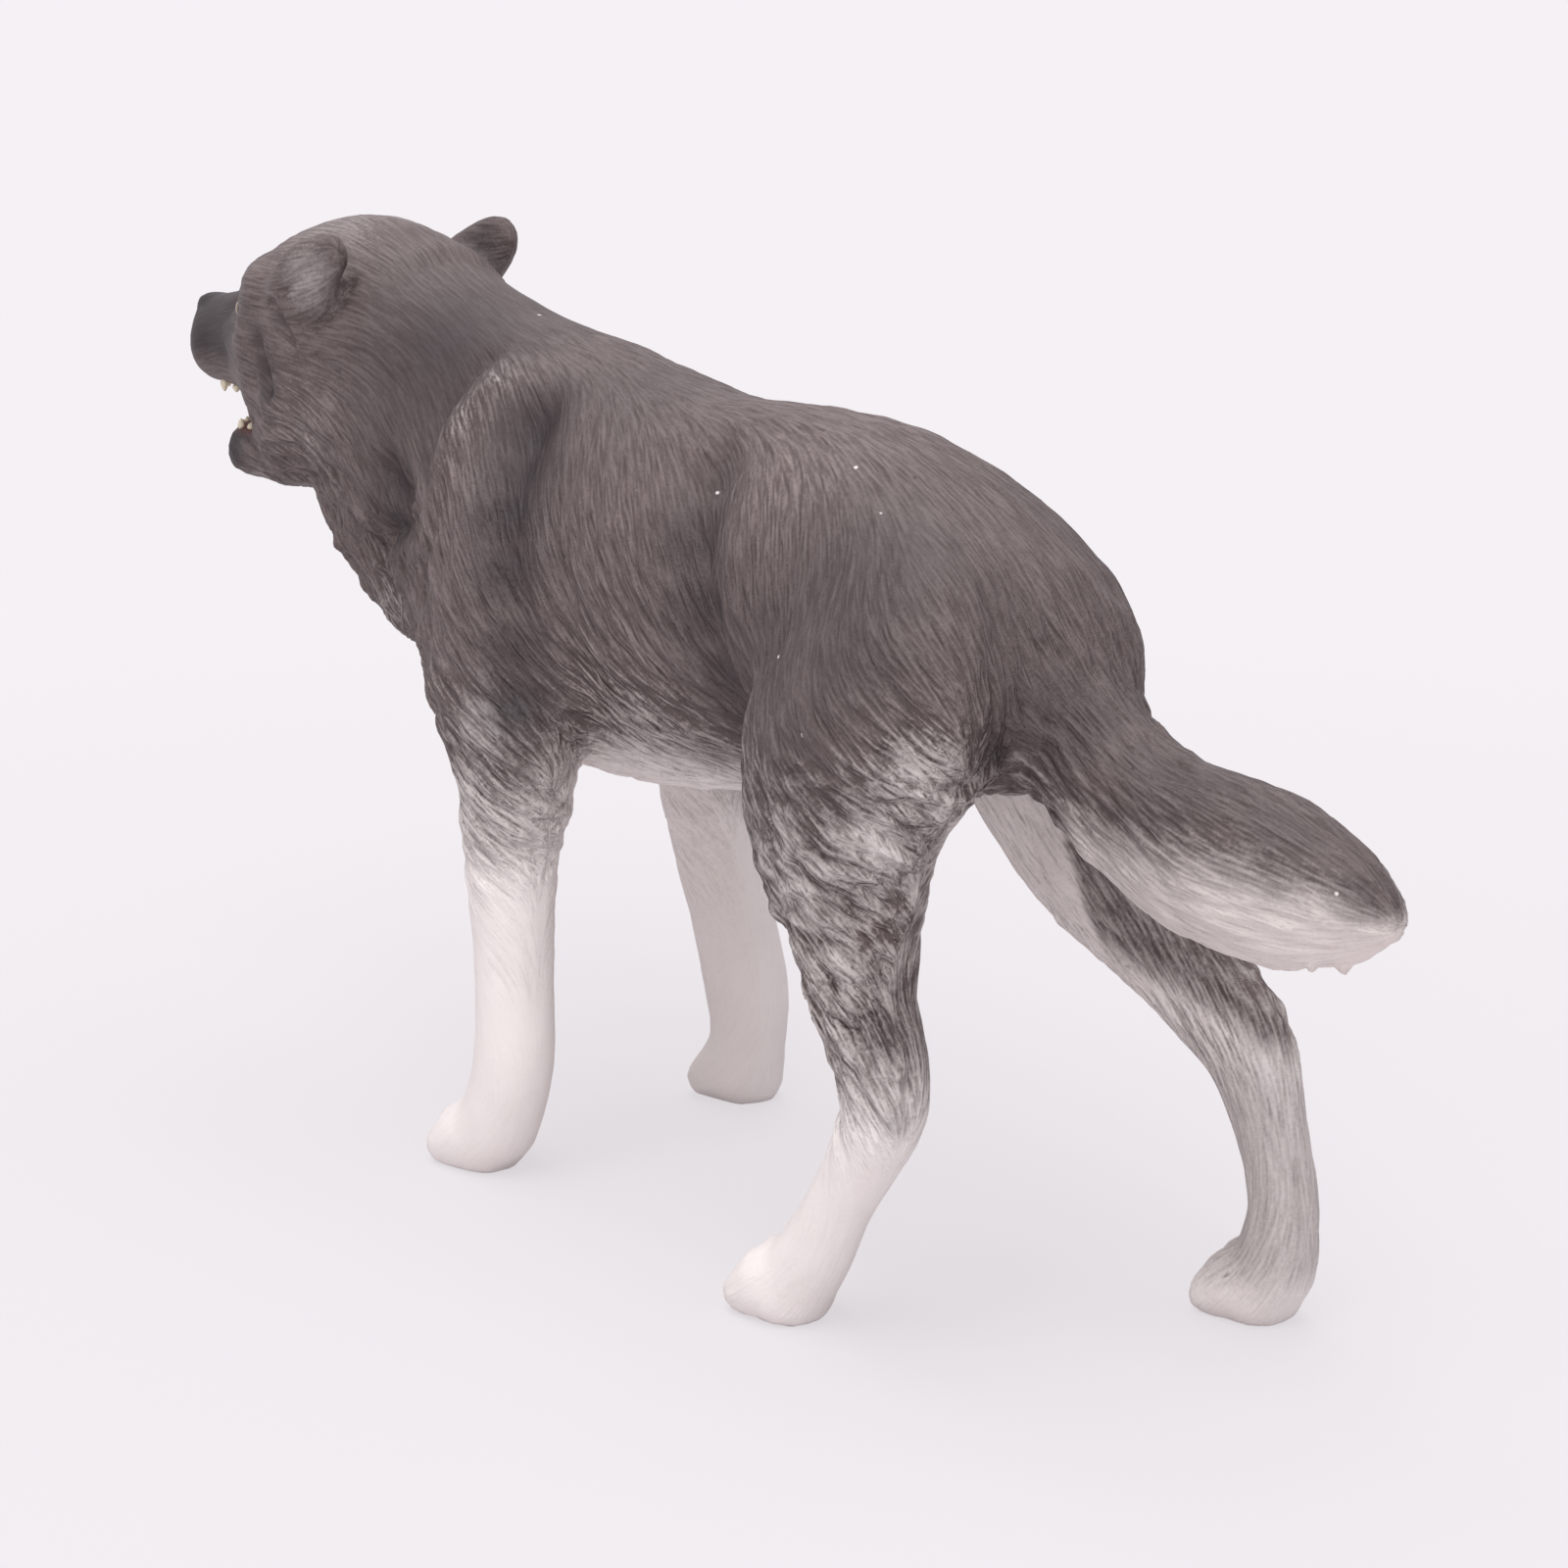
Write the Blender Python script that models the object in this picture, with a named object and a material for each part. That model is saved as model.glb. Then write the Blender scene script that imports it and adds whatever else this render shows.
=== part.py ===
"""Wolf figurine, a toy animal moulded in one piece of soft vinyl.

The wolf strides along -Y with its head turned a little to its own left, its mouth open, its ears
laid back and its tail held out behind. It stands on four flat soles at Z = 0. Sizes are in metres.
The body is built the way a sculptor blocks out clay: lofted masses are pushed together, fused
into one skin and smoothed, and then the hollows, folds and locks of fur are carved into it.
"""
import math

import bmesh
import bpy
import numpy as np
from mathutils import Matrix, Vector, noise

MM = 0.001

# Fineness of the skin while it is worked, and the faces that are left at the end
RING_POINTS = 28
LOFT_STEPS = 5
VOXEL = 0.45 * MM
SMOOTH_PASSES = 8
TRUNK_PASSES = 60
SOFTEN_PASSES = 2
SKIN_TRIANGLES = 11000
SOLE_SNAP = 0.12 * MM
PAW_SINK = 0.5 * MM

# Heights and places between which the trunk's extra smoothing fades in
TRUNK_BLEND = (24 * MM, 31 * MM)
NECK_BLEND = (-16 * MM, -8 * MM)

# Trunk and neck: place along the body, centre, back line, widest level, underside, half width
TRUNK = {
    "buttocks": (37.6, 0.0, 35.2, 33.2, 31.0, 2.6),
    "tail root": (35.6, 0.0, 38.0, 34.0, 29.0, 5.8),
    "rump": (32.0, 0.0, 40.9, 35.0, 28.0, 7.9),
    "croup": (27.4, 0.0, 43.5, 35.5, 27.0, 9.0),
    "hips": (21.0, 0.0, 45.5, 35.5, 26.2, 9.3),
    "loin": (14.0, 0.0, 45.8, 34.5, 24.5, 9.2),
    "waist": (7.0, 0.0, 45.4, 34.0, 23.2, 9.8),
    "ribs": (0.0, 0.0, 46.3, 34.0, 22.6, 10.4),
    "withers": (-6.0, 0.2, 47.4, 34.5, 22.8, 10.2),
    "shoulder point": (-12.0, 0.6, 48.3, 36.0, 24.4, 9.2),
    "neck": (-17.0, 1.2, 49.8, 38.5, 28.0, 8.2),
    "nape": (-22.0, 1.9, 51.6, 41.5, 31.9, 7.6),
    "throat": (-26.5, 2.8, 52.2, 43.5, 35.6, 7.0),
}

# Head, in its own frame from the nape joint: distance forward, top, widest level, underside, half width
HEAD_JOINT = (0.8 * MM, -18.0 * MM, 44.2 * MM)
HEAD_TURN = math.radians(10)
SKULL = {
    "occiput": (2.0, 7.2, 0.0, -8.0, 7.0),
    "crown": (8.0, 8.7, 0.6, -7.4, 7.6),
    "brow": (12.6, 7.9, 0.8, -6.4, 7.3),
    "eyes": (15.8, 6.1, 0.8, -4.8, 5.7),
    "stop": (18.4, 4.3, 0.4, -3.2, 4.2),
}
UPPER_JAW = {
    "root": (12.0, 4.6, 0.4, -4.2, 5.6),
    "bridge": (17.4, 4.2, 0.0, -3.4, 4.3),
    "middle": (20.8, 3.2, -0.2, -2.9, 3.3),
    "lip": (23.0, 2.7, -0.4, -2.8, 2.9),
    "front": (24.4, 1.8, -0.2, -1.7, 1.9),
}
LOWER_JAW = {
    "hinge": (9.0, -2.4, -5.0, -8.4, 4.6),
    "cheek": (13.0, -3.9, -6.0, -8.7, 3.8),
    "middle": (17.0, -4.9, -6.7, -8.8, 2.9),
    "chin": (20.0, -5.0, -6.9, -8.7, 2.4),
    "tip": (21.4, -5.2, -6.8, -8.1, 1.6),
}
RUFF = {
    "jaw": (-27.0, 3.4, 37.8, 36.0, 34.2, 2.5),
    "upper": (-24.4, 3.2, 39.8, 36.2, 32.8, 4.4),
    "throat": (-20.8, 2.6, 41.0, 35.4, 30.2, 6.0),
    "bib": (-16.8, 1.8, 40.7, 33.7, 27.2, 6.8),
    "tip": (-12.6, 1.2, 38.2, 31.7, 25.4, 6.6),
    "breast": (-8.0, 0.6, 35.2, 29.5, 24.2, 5.5),
}
NOSE_SIZE = (1.7, 1.3, 1.35)
NOSE_AT = (0.0, -24.0, 1.6)
CHEEK_SIZE = (3.2, 5.0, 5.4)
CHEEK_AT = (4.6, -9.6, -2.4)

# Ears: root, middle and tip in the head's frame, with half breadth and half thickness
EAR = {
    "root": (5.6, -10.4, 2.9, 1.9, 1.4),
    "middle": (6.8, -7.7, 4.9, 2.3, 1.05),
    "upper": (7.0, -5.2, 6.5, 2.1, 0.9),
    "tip": (6.8, -3.2, 7.6, 1.1, 0.7),
}

# Legs: side, along, height, half depth fore and aft, half breadth
FORE_LEFT = {
    "top": (5.0, -4.4, 42.0, 3.0, 2.0),
    "blade": (7.0, -4.0, 36.2, 6.3, 3.8),
    "shoulder": (8.4, -3.0, 30.2, 6.5, 3.9),
    "elbow": (9.4, -0.4, 24.8, 4.7, 3.0),
    "forearm": (9.8, -0.4, 19.2, 3.3, 2.5),
    "shin": (10.0, 0.0, 13.2, 2.5, 2.25),
    "wrist": (10.2, 0.2, 7.6, 2.5, 2.3),
    "pastern": (10.2, -0.9, 4.4, 2.5, 2.35),
    "heel": (10.2, -2.2, 2.0, 2.4, 2.5),
}
FORE_RIGHT = {
    "top": (-5.0, -6.4, 42.0, 3.0, 2.0),
    "blade": (-7.0, -6.0, 36.2, 6.3, 3.8),
    "shoulder": (-7.8, -6.0, 30.2, 6.4, 3.9),
    "elbow": (-7.6, -5.6, 24.8, 4.2, 3.0),
    "forearm": (-7.4, -5.2, 18.7, 3.0, 2.5),
    "shin": (-8.3, -4.2, 12.7, 2.9, 2.4),
    "wrist": (-9.0, -3.4, 7.2, 2.9, 2.45),
    "pastern": (-9.2, -3.5, 4.2, 2.5, 2.3),
    "heel": (-9.2, -3.8, 2.0, 2.4, 2.4),
}
HIND_LEFT = {
    "top": (2.0, 25.6, 39.6, 4.0, 2.5),
    "hip": (4.7, 27.2, 36.6, 7.6, 4.2),
    "thigh": (7.3, 29.0, 32.2, 8.7, 4.8),
    "stifle": (9.0, 29.6, 27.2, 6.9, 4.2),
    "calf": (9.8, 31.0, 22.8, 4.5, 3.2),
    "shank": (10.1, 32.3, 18.8, 3.1, 2.6),
    "hock": (10.2, 34.2, 14.4, 2.7, 2.1),
    "cannon": (10.2, 32.7, 10.8, 2.1, 1.85),
    "shin": (10.2, 30.6, 7.6, 1.85, 1.8),
    "pastern": (10.2, 28.6, 4.4, 2.1, 2.0),
    "heel": (10.2, 26.8, 2.1, 2.2, 2.3),
}
HIND_RIGHT = {
    "top": (-2.6, 23.6, 40.4, 4.0, 2.5),
    "hip": (-4.8, 24.4, 36.8, 6.6, 4.0),
    "thigh": (-6.6, 25.2, 31.6, 7.4, 4.4),
    "stifle": (-7.6, 27.2, 26.6, 6.4, 3.8),
    "calf": (-8.0, 30.2, 22.4, 4.9, 3.2),
    "shank": (-8.6, 34.8, 18.6, 3.3, 2.6),
    "hock": (-9.0, 39.8, 15.0, 2.9, 2.2),
    "cannon": (-9.2, 41.6, 11.2, 2.1, 2.0),
    "shin": (-9.3, 42.7, 7.4, 1.85, 1.85),
    "pastern": (-9.3, 42.6, 4.4, 2.1, 2.1),
    "heel": (-9.3, 42.0, 2.1, 2.2, 2.3),
}

# Paws, from the middle of the sole: place along, top, widest level, underside, half width
PAW = {
    "back": (2.8, 2.8, 1.8, 0.6, 1.4),
    "heel": (1.8, 4.2, 2.0, 0.0, 2.3),
    "middle": (0.2, 5.0, 2.1, 0.0, 2.7),
    "toes": (-1.1, 4.5, 2.0, 0.0, 2.6),
    "tips": (-1.9, 3.3, 1.9, 0.6, 1.7),
}
PAW_AT = {
    "fore left": (10.2, -3.8),
    "fore right": (-9.2, -4.6),
    "hind left": (10.2, 25.6),
    "hind right": (-9.3, 40.4),
}
TOE_SPREAD = 1.3
TOE_SIZE = (0.9, 1.3, 1.25)
TOE_REACH = 1.2

# Tail: side, along, height, half height, half breadth
TAIL = {
    "root": (0.0, 33.6, 35.0, 3.2, 3.2),
    "drop": (0.0, 37.6, 31.1, 3.6, 3.4),
    "bend": (0.0, 42.6, 28.5, 3.9, 3.7),
    "brush": (0.0, 47.8, 27.7, 4.4, 4.1),
    "full": (0.0, 52.2, 27.3, 4.0, 3.8),
    "taper": (0.0, 56.4, 27.2, 2.7, 2.6),
    "tip": (0.0, 59.4, 26.8, 0.7, 0.7),
}

# Hollows and ridges pressed into both flanks: depth (a ridge is negative), breadth, and the path on the
# wolf's left side
FLANK_FORMS = {
    "groove before the ruff's edge": (0.35, 1.5, [(6.0, -10.0, 45.4), (7.6, -10.2, 43.4), (9.2, -10.8, 39.6)]),
    "ruff's edge": (-0.35, 1.7, [(5.4, -7.6, 45.8), (6.6, -7.5, 44.6), (8.2, -8.0, 42.4), (9.7, -8.0, 38.0)]),
    "hollow behind the shoulder": (0.75, 2.6, [(7.4, -2.6, 43.0), (9.0, 1.6, 39.5), (9.8, 4.6, 34.5),
                                               (9.2, 5.6, 28.5)]),
    "hollow before the haunch": (0.9, 2.8, [(6.6, 13.6, 42.2), (8.6, 15.4, 38.0), (9.2, 17.0, 33.5),
                                            (8.0, 19.0, 28.5)]),
    "groin fold": (0.5, 1.2, [(9.8, 20.2, 34.0), (9.6, 21.4, 29.5), (8.4, 23.0, 26.5)]),
    "hamstring": (0.5, 1.8, [(9.8, 34.4, 33.0), (11.0, 34.8, 26.0), (11.0, 34.6, 20.0)]),
}

# Forms pressed into both sides of the face, in the head's frame: depth, breadth, path
FACE_FORMS = {
    "brow": (-0.5, 1.2, [(6.4, -12.6, 5.0), (4.8, -15.2, 5.0), (2.6, -16.4, 5.6)]),
    "eye socket": (0.9, 1.4, [(5.2, -15.6, 2.6), (3.4, -17.4, 2.8)]),
    "eyeball": (-0.55, 0.8, [(4.6, -16.0, 2.8), (4.1, -16.6, 2.8)]),
    "cheek furrow": (0.4, 1.0, [(7.4, -11.6, 2.4), (7.6, -12.0, -1.6), (6.6, -12.6, -5.0)]),
    "lip fold": (0.4, 0.8, [(4.2, -18.0, -0.6), (3.6, -21.0, -0.4)]),
    "nostril": (0.4, 0.45, [(0.9, -25.2, 1.4), (1.4, -24.6, 1.7)]),
}
TOE_GROOVE = (0.45, 0.55)

# Locks of fur: height, breadth and length of a lock, how far the pattern wanders, and where it lies
LOCKS = {
    "ruff": (0.55, 3.0, 5.2, 1.3),
    "haunch": (0.45, 2.7, 4.6, 1.5),
    "brush": (0.4, 2.6, 8.0, 1.0),
}
LOCK_STEP = 0.3
RUFF_CENTRE = (1.4, -11.0)
RUFF_RADIUS = 8.0
RUFF_HEIGHTS = (24.0, 29.0, 41.0, 46.0)
HAUNCH_LEAN = 0.55
HAUNCH_HEIGHTS = (17.0, 21.0, 31.0, 36.0)
BRUSH_START = (38.0, 44.0)
WANDER = 5.0

COAT = (0.19, 0.16, 0.16, 1.0)


def spread(rows, steps=LOFT_STEPS):
    """Rows of numbers joined by a Catmull-Rom curve, with extra rows between them."""
    rows = np.array(list(rows.values()), float) * MM
    ends = np.vstack([2 * rows[0] - rows[1], rows, 2 * rows[-1] - rows[-2]])
    out = []
    for i in range(1, len(ends) - 2):
        a, b, c, d = ends[i - 1:i + 3]
        for k in range(steps):
            t = k / steps
            out.append(0.5 * (2 * b + (c - a) * t + (2 * a - 5 * b + 4 * c - d) * t * t
                              + (3 * b - a - 3 * c + d) * t ** 3))
    out.append(ends[-2])
    return out


def ring(centre, side, lift, breadth, up, down):
    """An oval of points whose upper and lower halves may differ in height."""
    points = []
    for k in range(RING_POINTS):
        angle = 2 * math.pi * k / RING_POINTS
        rise = math.sin(angle)
        points.append(centre + side * (breadth * math.cos(angle)) + lift * ((up if rise > 0 else down) * rise))
    return points


def loft(bm, rings):
    """A closed skin over a row of rings."""
    loops = [[bm.verts.new(point) for point in points] for points in rings]
    for near, far in zip(loops, loops[1:]):
        for k in range(RING_POINTS):
            n = (k + 1) % RING_POINTS
            bm.faces.new((near[k], near[n], far[n], far[k]))
    bm.faces.new(reversed(loops[0]))
    bm.faces.new(loops[-1])


def level_loft(bm, rows, place):
    """A mass with upright rings, such as the trunk: each row is along, side, top, level, bottom, breadth."""
    rings = []
    for along, side, top, level, bottom, breadth in spread(rows):
        centre = place @ Vector((side, along, level))
        across = place.to_3x3() @ Vector((1, 0, 0))
        lift = place.to_3x3() @ Vector((0, 0, 1))
        rings.append(ring(centre, across, lift, max(breadth, VOXEL), max(top - level, VOXEL),
                          max(level - bottom, VOXEL)))
    loft(bm, rings)


def limb(bm, rows, place=Matrix()):
    """A limb whose rings stand square to its path: side, along, height, half depth, half breadth."""
    rows = spread(rows)
    rings = []
    for i, row in enumerate(rows):
        before, after = rows[max(i - 1, 0)], rows[min(i + 1, len(rows) - 1)]
        path = Vector(after[:3] - before[:3]).normalized()
        across = Vector((1, 0, 0))
        across = (across - path * across.dot(path)).normalized()
        deep = path.cross(across)
        turn = place.to_3x3()
        rings.append(ring(place @ Vector(row[:3]), turn @ across, turn @ deep, row[4], row[3], row[3]))
    loft(bm, rings)


def ball(bm, centre, size, place=Matrix()):
    """An egg-shaped mass."""
    shape = place @ Matrix.Translation(Vector(centre) * MM) @ Matrix.Diagonal((*(Vector(size) * MM), 1))
    bmesh.ops.create_icosphere(bm, subdivisions=3, radius=1, matrix=shape)


def head_place():
    """The head's frame: forward is -Y, turned to the wolf's left about the nape joint."""
    return Matrix.Translation(HEAD_JOINT) @ Matrix.Rotation(HEAD_TURN, 4, "Z")


def forward_rows(rows):
    """Head rows, given as distances forward, as level rows."""
    return {name: (-row[0], 0.0, *row[1:]) for name, row in rows.items()}


def build_head(bm):
    """Skull, both jaws, nose, cheeks and ears."""
    place = head_place()
    level_loft(bm, forward_rows(SKULL), place)
    level_loft(bm, forward_rows(UPPER_JAW), place)
    level_loft(bm, forward_rows(LOWER_JAW), place)
    ball(bm, NOSE_AT, NOSE_SIZE, place)
    for hand in (1, -1):
        mirror = Matrix.Diagonal((hand, 1, 1, 1))
        ball(bm, (CHEEK_AT[0] * hand, *CHEEK_AT[1:]), CHEEK_SIZE, place)
        limb(bm, EAR, place @ mirror)


def build_paw(bm, spot):
    """A paw with four toes; it dips below the ground, where the sole is cut flat later."""
    place = Matrix.Translation((spot[0] * MM, spot[1] * MM, -PAW_SINK))
    level_loft(bm, {name: (row[0], 0.0, *row[1:]) for name, row in PAW.items()}, place)
    for toe in (-1.5, -0.5, 0.5, 1.5):
        reach = TOE_REACH + 0.7 * (abs(toe) < 1)
        ball(bm, (toe * TOE_SPREAD, -reach, 1.6), TOE_SIZE, place)


def block_out():
    """Every mass of the wolf in one mesh, still overlapping."""
    bm = bmesh.new()
    level_loft(bm, TRUNK, Matrix())
    level_loft(bm, RUFF, Matrix())
    build_head(bm)
    for leg in (FORE_LEFT, FORE_RIGHT, HIND_LEFT, HIND_RIGHT):
        limb(bm, leg)
    for spot in PAW_AT.values():
        build_paw(bm, spot)
    limb(bm, TAIL)
    bmesh.ops.recalc_face_normals(bm, faces=bm.faces)
    mesh = bpy.data.meshes.new("wolf_figurine")
    bm.to_mesh(mesh)
    bm.free()
    wolf = bpy.data.objects.new("wolf_figurine", mesh)
    bpy.context.collection.objects.link(wolf)
    return wolf


def bake(wolf):
    """The object's modifiers worked into its mesh."""
    graph = bpy.context.evaluated_depsgraph_get()
    mesh = bpy.data.meshes.new_from_object(wolf.evaluated_get(graph))
    wolf.modifiers.clear()
    wolf.data = mesh


def fuse(wolf):
    """One skin over all the masses, smoothed where they meet, and most of all over the trunk."""
    remesh = wolf.modifiers.new("Fuse", "REMESH")
    remesh.mode = "VOXEL"
    remesh.voxel_size = VOXEL
    bake(wolf)
    trunk = wolf.vertex_groups.new(name="trunk")
    for vert in wolf.data.vertices:
        weight = (vert.co.z - TRUNK_BLEND[0]) / (TRUNK_BLEND[1] - TRUNK_BLEND[0])
        back = (vert.co.y - NECK_BLEND[0]) / (NECK_BLEND[1] - NECK_BLEND[0])
        trunk.add([vert.index], min(max(min(weight, back), 0), 1), "REPLACE")
    for name, passes, group in (("Blend", SMOOTH_PASSES, ""), ("Blend trunk", TRUNK_PASSES, "trunk")):
        smooth = wolf.modifiers.new(name, "SMOOTH")
        smooth.iterations = passes
        smooth.factor = 0.5
        smooth.vertex_group = group
    bake(wolf)
    wolf.vertex_groups.clear()


def path_distance(points, path):
    """How far each point lies from a path of straight runs."""
    nearest = np.full(len(points), np.inf)
    for start, end in zip(path, path[1:]):
        run = end - start
        share = np.clip((points - start) @ run / (run @ run), 0, 1)
        nearest = np.minimum(nearest, np.linalg.norm(points - (start + share[:, None] * run), axis=1))
    return nearest


def press(points, path, depth, breadth):
    """Inward travel under a rounded tool drawn along a path."""
    reach = path_distance(points, np.array(path) * MM) / (breadth * MM)
    return -depth * MM * np.exp(-reach * reach)


def fade(values, low, high):
    """0 below low, 1 above high, smooth between."""
    share = np.clip((values - low * MM) / ((high - low) * MM), 0, 1)
    return share * share * (3 - 2 * share)


def band(values, low, full, last, high):
    """1 between full and last, fading to 0 at low and high."""
    return fade(values, low, full) * (1 - fade(values, last, high))


def wander(points, step, seed):
    """A slow random drift between -1 and 1."""
    shift = Vector((seed * 7.3, seed * 1.9, seed * 4.1))
    return np.array([noise.noise(Vector(point) / (step * MM) + shift) for point in points])


def locks(points, across, along, style):
    """Overlapping pointed locks, like shingles: each rises towards its tip and then drops to the next."""
    height, breadth, length, drift = LOCKS[style]
    across = across / (breadth * MM) + drift * 0.5 * wander(points, WANDER, 1)
    along = along / (length * MM) + drift * 0.5 * wander(points, WANDER, 2)
    column = np.floor(across)
    crest = 1 - np.abs(2 * (across - column) - 1)
    rise = along + 0.37 * column - 0.45 * crest
    rise -= np.floor(rise)
    return height * MM * (rise * np.clip((1 - rise) / LOCK_STEP, 0, 1) * (0.45 + 0.55 * crest) - 0.35)


def fur(points):
    """Height of the carved locks over the whole skin."""
    side, back, up = points.T
    round_ruff = RUFF_RADIUS * MM * np.arctan2(side - RUFF_CENTRE[0] * MM, RUFF_CENTRE[1] * MM - back)
    ruff = band(up, *RUFF_HEIGHTS) * (1 - fade(back, -12, -8)) * fade(-back, -40, 12)
    relief = ruff * locks(points, round_ruff, -up - 0.3 * back, "ruff")
    lean = back - HAUNCH_LEAN * (HAUNCH_HEIGHTS[2] * MM - up)
    haunch = band(up, *HAUNCH_HEIGHTS) * fade(back, 23, 28) * (1 - fade(back, 37, 39))
    relief += haunch * locks(points, lean, -up, "haunch")
    middle = np.interp(back, *[np.array(column) * MM for column in zip(*[row[1:3] for row in TAIL.values()])])
    round_tail = 4 * MM * np.arctan2(side, up - middle)
    brush = fade(back, *BRUSH_START) * fade(up, 19, 22) * (1 - fade(back, 56, 59))
    return relief + brush * locks(points, round_tail, back, "brush")


def carve(wolf):
    """Hollows, folds, features of the face, toes and locks of fur, cut along the skin's normals."""
    mesh = wolf.data
    points = np.array([vert.co[:] for vert in mesh.vertices])
    normals = np.array([vert.normal[:] for vert in mesh.vertices])
    travel = fur(points)
    head = np.array(head_place())
    for hand in (1, -1):
        side = np.array((hand, 1, 1))
        for depth, breadth, path in FLANK_FORMS.values():
            travel += press(points, np.array(path) * side, depth, breadth)
        for depth, breadth, path in FACE_FORMS.values():
            path = (np.array(path) * side) @ head[:3, :3].T + head[:3, 3] / MM
            travel += press(points, path, depth, breadth)
    for x, y in PAW_AT.values():
        for gap in (-1, 0, 1):
            start = (x + gap * TOE_SPREAD, y - 1.2, 5.0)
            end = (x + gap * TOE_SPREAD, y - 4.0, 0.0)
            travel += press(points, (start, end), *TOE_GROOVE)
    for vert, place in zip(mesh.vertices, points + normals * travel[:, None]):
        vert.co = place
    soften = wolf.modifiers.new("Soften", "SMOOTH")
    soften.iterations = SOFTEN_PASSES
    bake(wolf)


def thin_out(wolf):
    """Fewer faces, kept where the form turns."""
    mesh = wolf.data
    mesh.calc_loop_triangles()
    thin = wolf.modifiers.new("Thin", "DECIMATE")
    thin.ratio = SKIN_TRIANGLES / len(mesh.loop_triangles)
    thin.use_collapse_triangulate = True
    bake(wolf)


def cut_soles(wolf):
    """Flat soles at Z = 0, and the figurine centred over the origin."""
    bm = bmesh.new()
    bm.from_mesh(wolf.data)
    for vert in bm.verts:
        if abs(vert.co.z) < SOLE_SNAP:
            vert.co.z = 0
    cut = bmesh.ops.bisect_plane(bm, geom=bm.verts[:] + bm.edges[:] + bm.faces[:], dist=1e-7,
                                 plane_co=(0, 0, 0), plane_no=(0, 0, -1), clear_outer=True)
    rim = [edge for edge in cut["geom_cut"] if isinstance(edge, bmesh.types.BMEdge) and edge.is_boundary]
    bmesh.ops.holes_fill(bm, edges=rim, sides=0)
    bmesh.ops.triangulate(bm, faces=bm.faces[:])
    bmesh.ops.recalc_face_normals(bm, faces=bm.faces)
    corners = np.array([vert.co[:] for vert in bm.verts])
    middle = (corners.min(0) + corners.max(0)) / 2
    bmesh.ops.translate(bm, verts=bm.verts, vec=(-middle[0], -middle[1], 0))
    bm.to_mesh(wolf.data)
    bm.free()


def vinyl():
    """Painted soft vinyl."""
    material = bpy.data.materials.new("painted_vinyl")
    material.use_nodes = True
    shader = material.node_tree.nodes["Principled BSDF"]
    shader.inputs["Base Color"].default_value = COAT
    shader.inputs["Roughness"].default_value = 0.55
    return material


def main():
    for old in list(bpy.data.objects):
        bpy.data.objects.remove(old)
    wolf = block_out()
    fuse(wolf)
    carve(wolf)
    thin_out(wolf)
    cut_soles(wolf)
    wolf.data.shade_smooth()
    wolf.data.materials.append(vinyl())


main()
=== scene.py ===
"""Looks of the wolf figurine: moulded fur, airbrushed paint, eyes, nose, teeth and tongue, on a plain studio floor."""
import math

import bpy
import numpy as np
from mathutils import Matrix, Vector


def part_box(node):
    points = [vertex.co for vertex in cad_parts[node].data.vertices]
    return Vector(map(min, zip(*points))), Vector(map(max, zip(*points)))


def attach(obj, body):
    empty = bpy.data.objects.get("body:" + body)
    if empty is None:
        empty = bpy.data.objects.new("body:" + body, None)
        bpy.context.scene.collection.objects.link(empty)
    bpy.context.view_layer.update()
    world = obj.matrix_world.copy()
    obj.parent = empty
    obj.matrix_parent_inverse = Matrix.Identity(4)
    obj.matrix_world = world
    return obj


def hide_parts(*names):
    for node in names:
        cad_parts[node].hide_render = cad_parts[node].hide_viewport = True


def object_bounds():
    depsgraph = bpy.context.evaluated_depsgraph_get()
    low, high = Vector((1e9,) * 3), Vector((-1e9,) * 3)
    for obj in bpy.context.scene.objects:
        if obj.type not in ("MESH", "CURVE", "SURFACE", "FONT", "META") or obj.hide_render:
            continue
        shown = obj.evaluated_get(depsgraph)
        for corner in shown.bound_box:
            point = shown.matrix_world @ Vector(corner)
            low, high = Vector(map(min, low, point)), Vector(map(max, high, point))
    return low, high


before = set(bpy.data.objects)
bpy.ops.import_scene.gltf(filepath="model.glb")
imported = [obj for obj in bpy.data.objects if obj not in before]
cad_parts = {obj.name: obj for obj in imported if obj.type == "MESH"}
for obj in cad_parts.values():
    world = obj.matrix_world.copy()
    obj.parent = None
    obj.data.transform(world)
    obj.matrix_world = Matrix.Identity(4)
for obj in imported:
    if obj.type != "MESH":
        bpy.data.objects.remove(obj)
CAD_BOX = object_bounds()

bl_info = {
    "name": "Wolf figurine",
    "version": (1, 0, 0),
    "blender": (4, 5, 0),
    "location": "3D View > Sidebar > Wolf",
    "description": "Builds a painted vinyl wolf figurine around its packed solid",
    "category": "Add Mesh",
}

MM = 0.001
NODE = "wolf_figurine"
BODY = "root"

# The head's own frame, as in the solid: its joint in the nape, in millimetres, and its turn to the wolf's left.
# Places and sizes in the head's frame, in millimetres, follow
HEAD_JOINT = (0.2, -26.2, 44.2)
HEAD_TURN = math.radians(10)
NOSE_AT = (0.0, -24.0, 1.6)
NOSE_SIZE = (1.7, 1.3, 1.35)
# Height of the middle of the open mouth, and of the line that the teeth are sought from
MOUTH_LEVEL = -4.1
TEETH_FROM = -4.0
# The left eye's looking direction, and the line along which its socket is sought
EYE_GAZE = (0.66, -0.74, 0.1)
EYE_LINE = ((7.8, -20.0, 3.0), (4.3, -16.5, 2.7))
# The line along which the tongue's bed is sought
TONGUE_LINE = ((0.0, -18.4, -4.1), (0.0, -18.4, -6.0))

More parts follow.
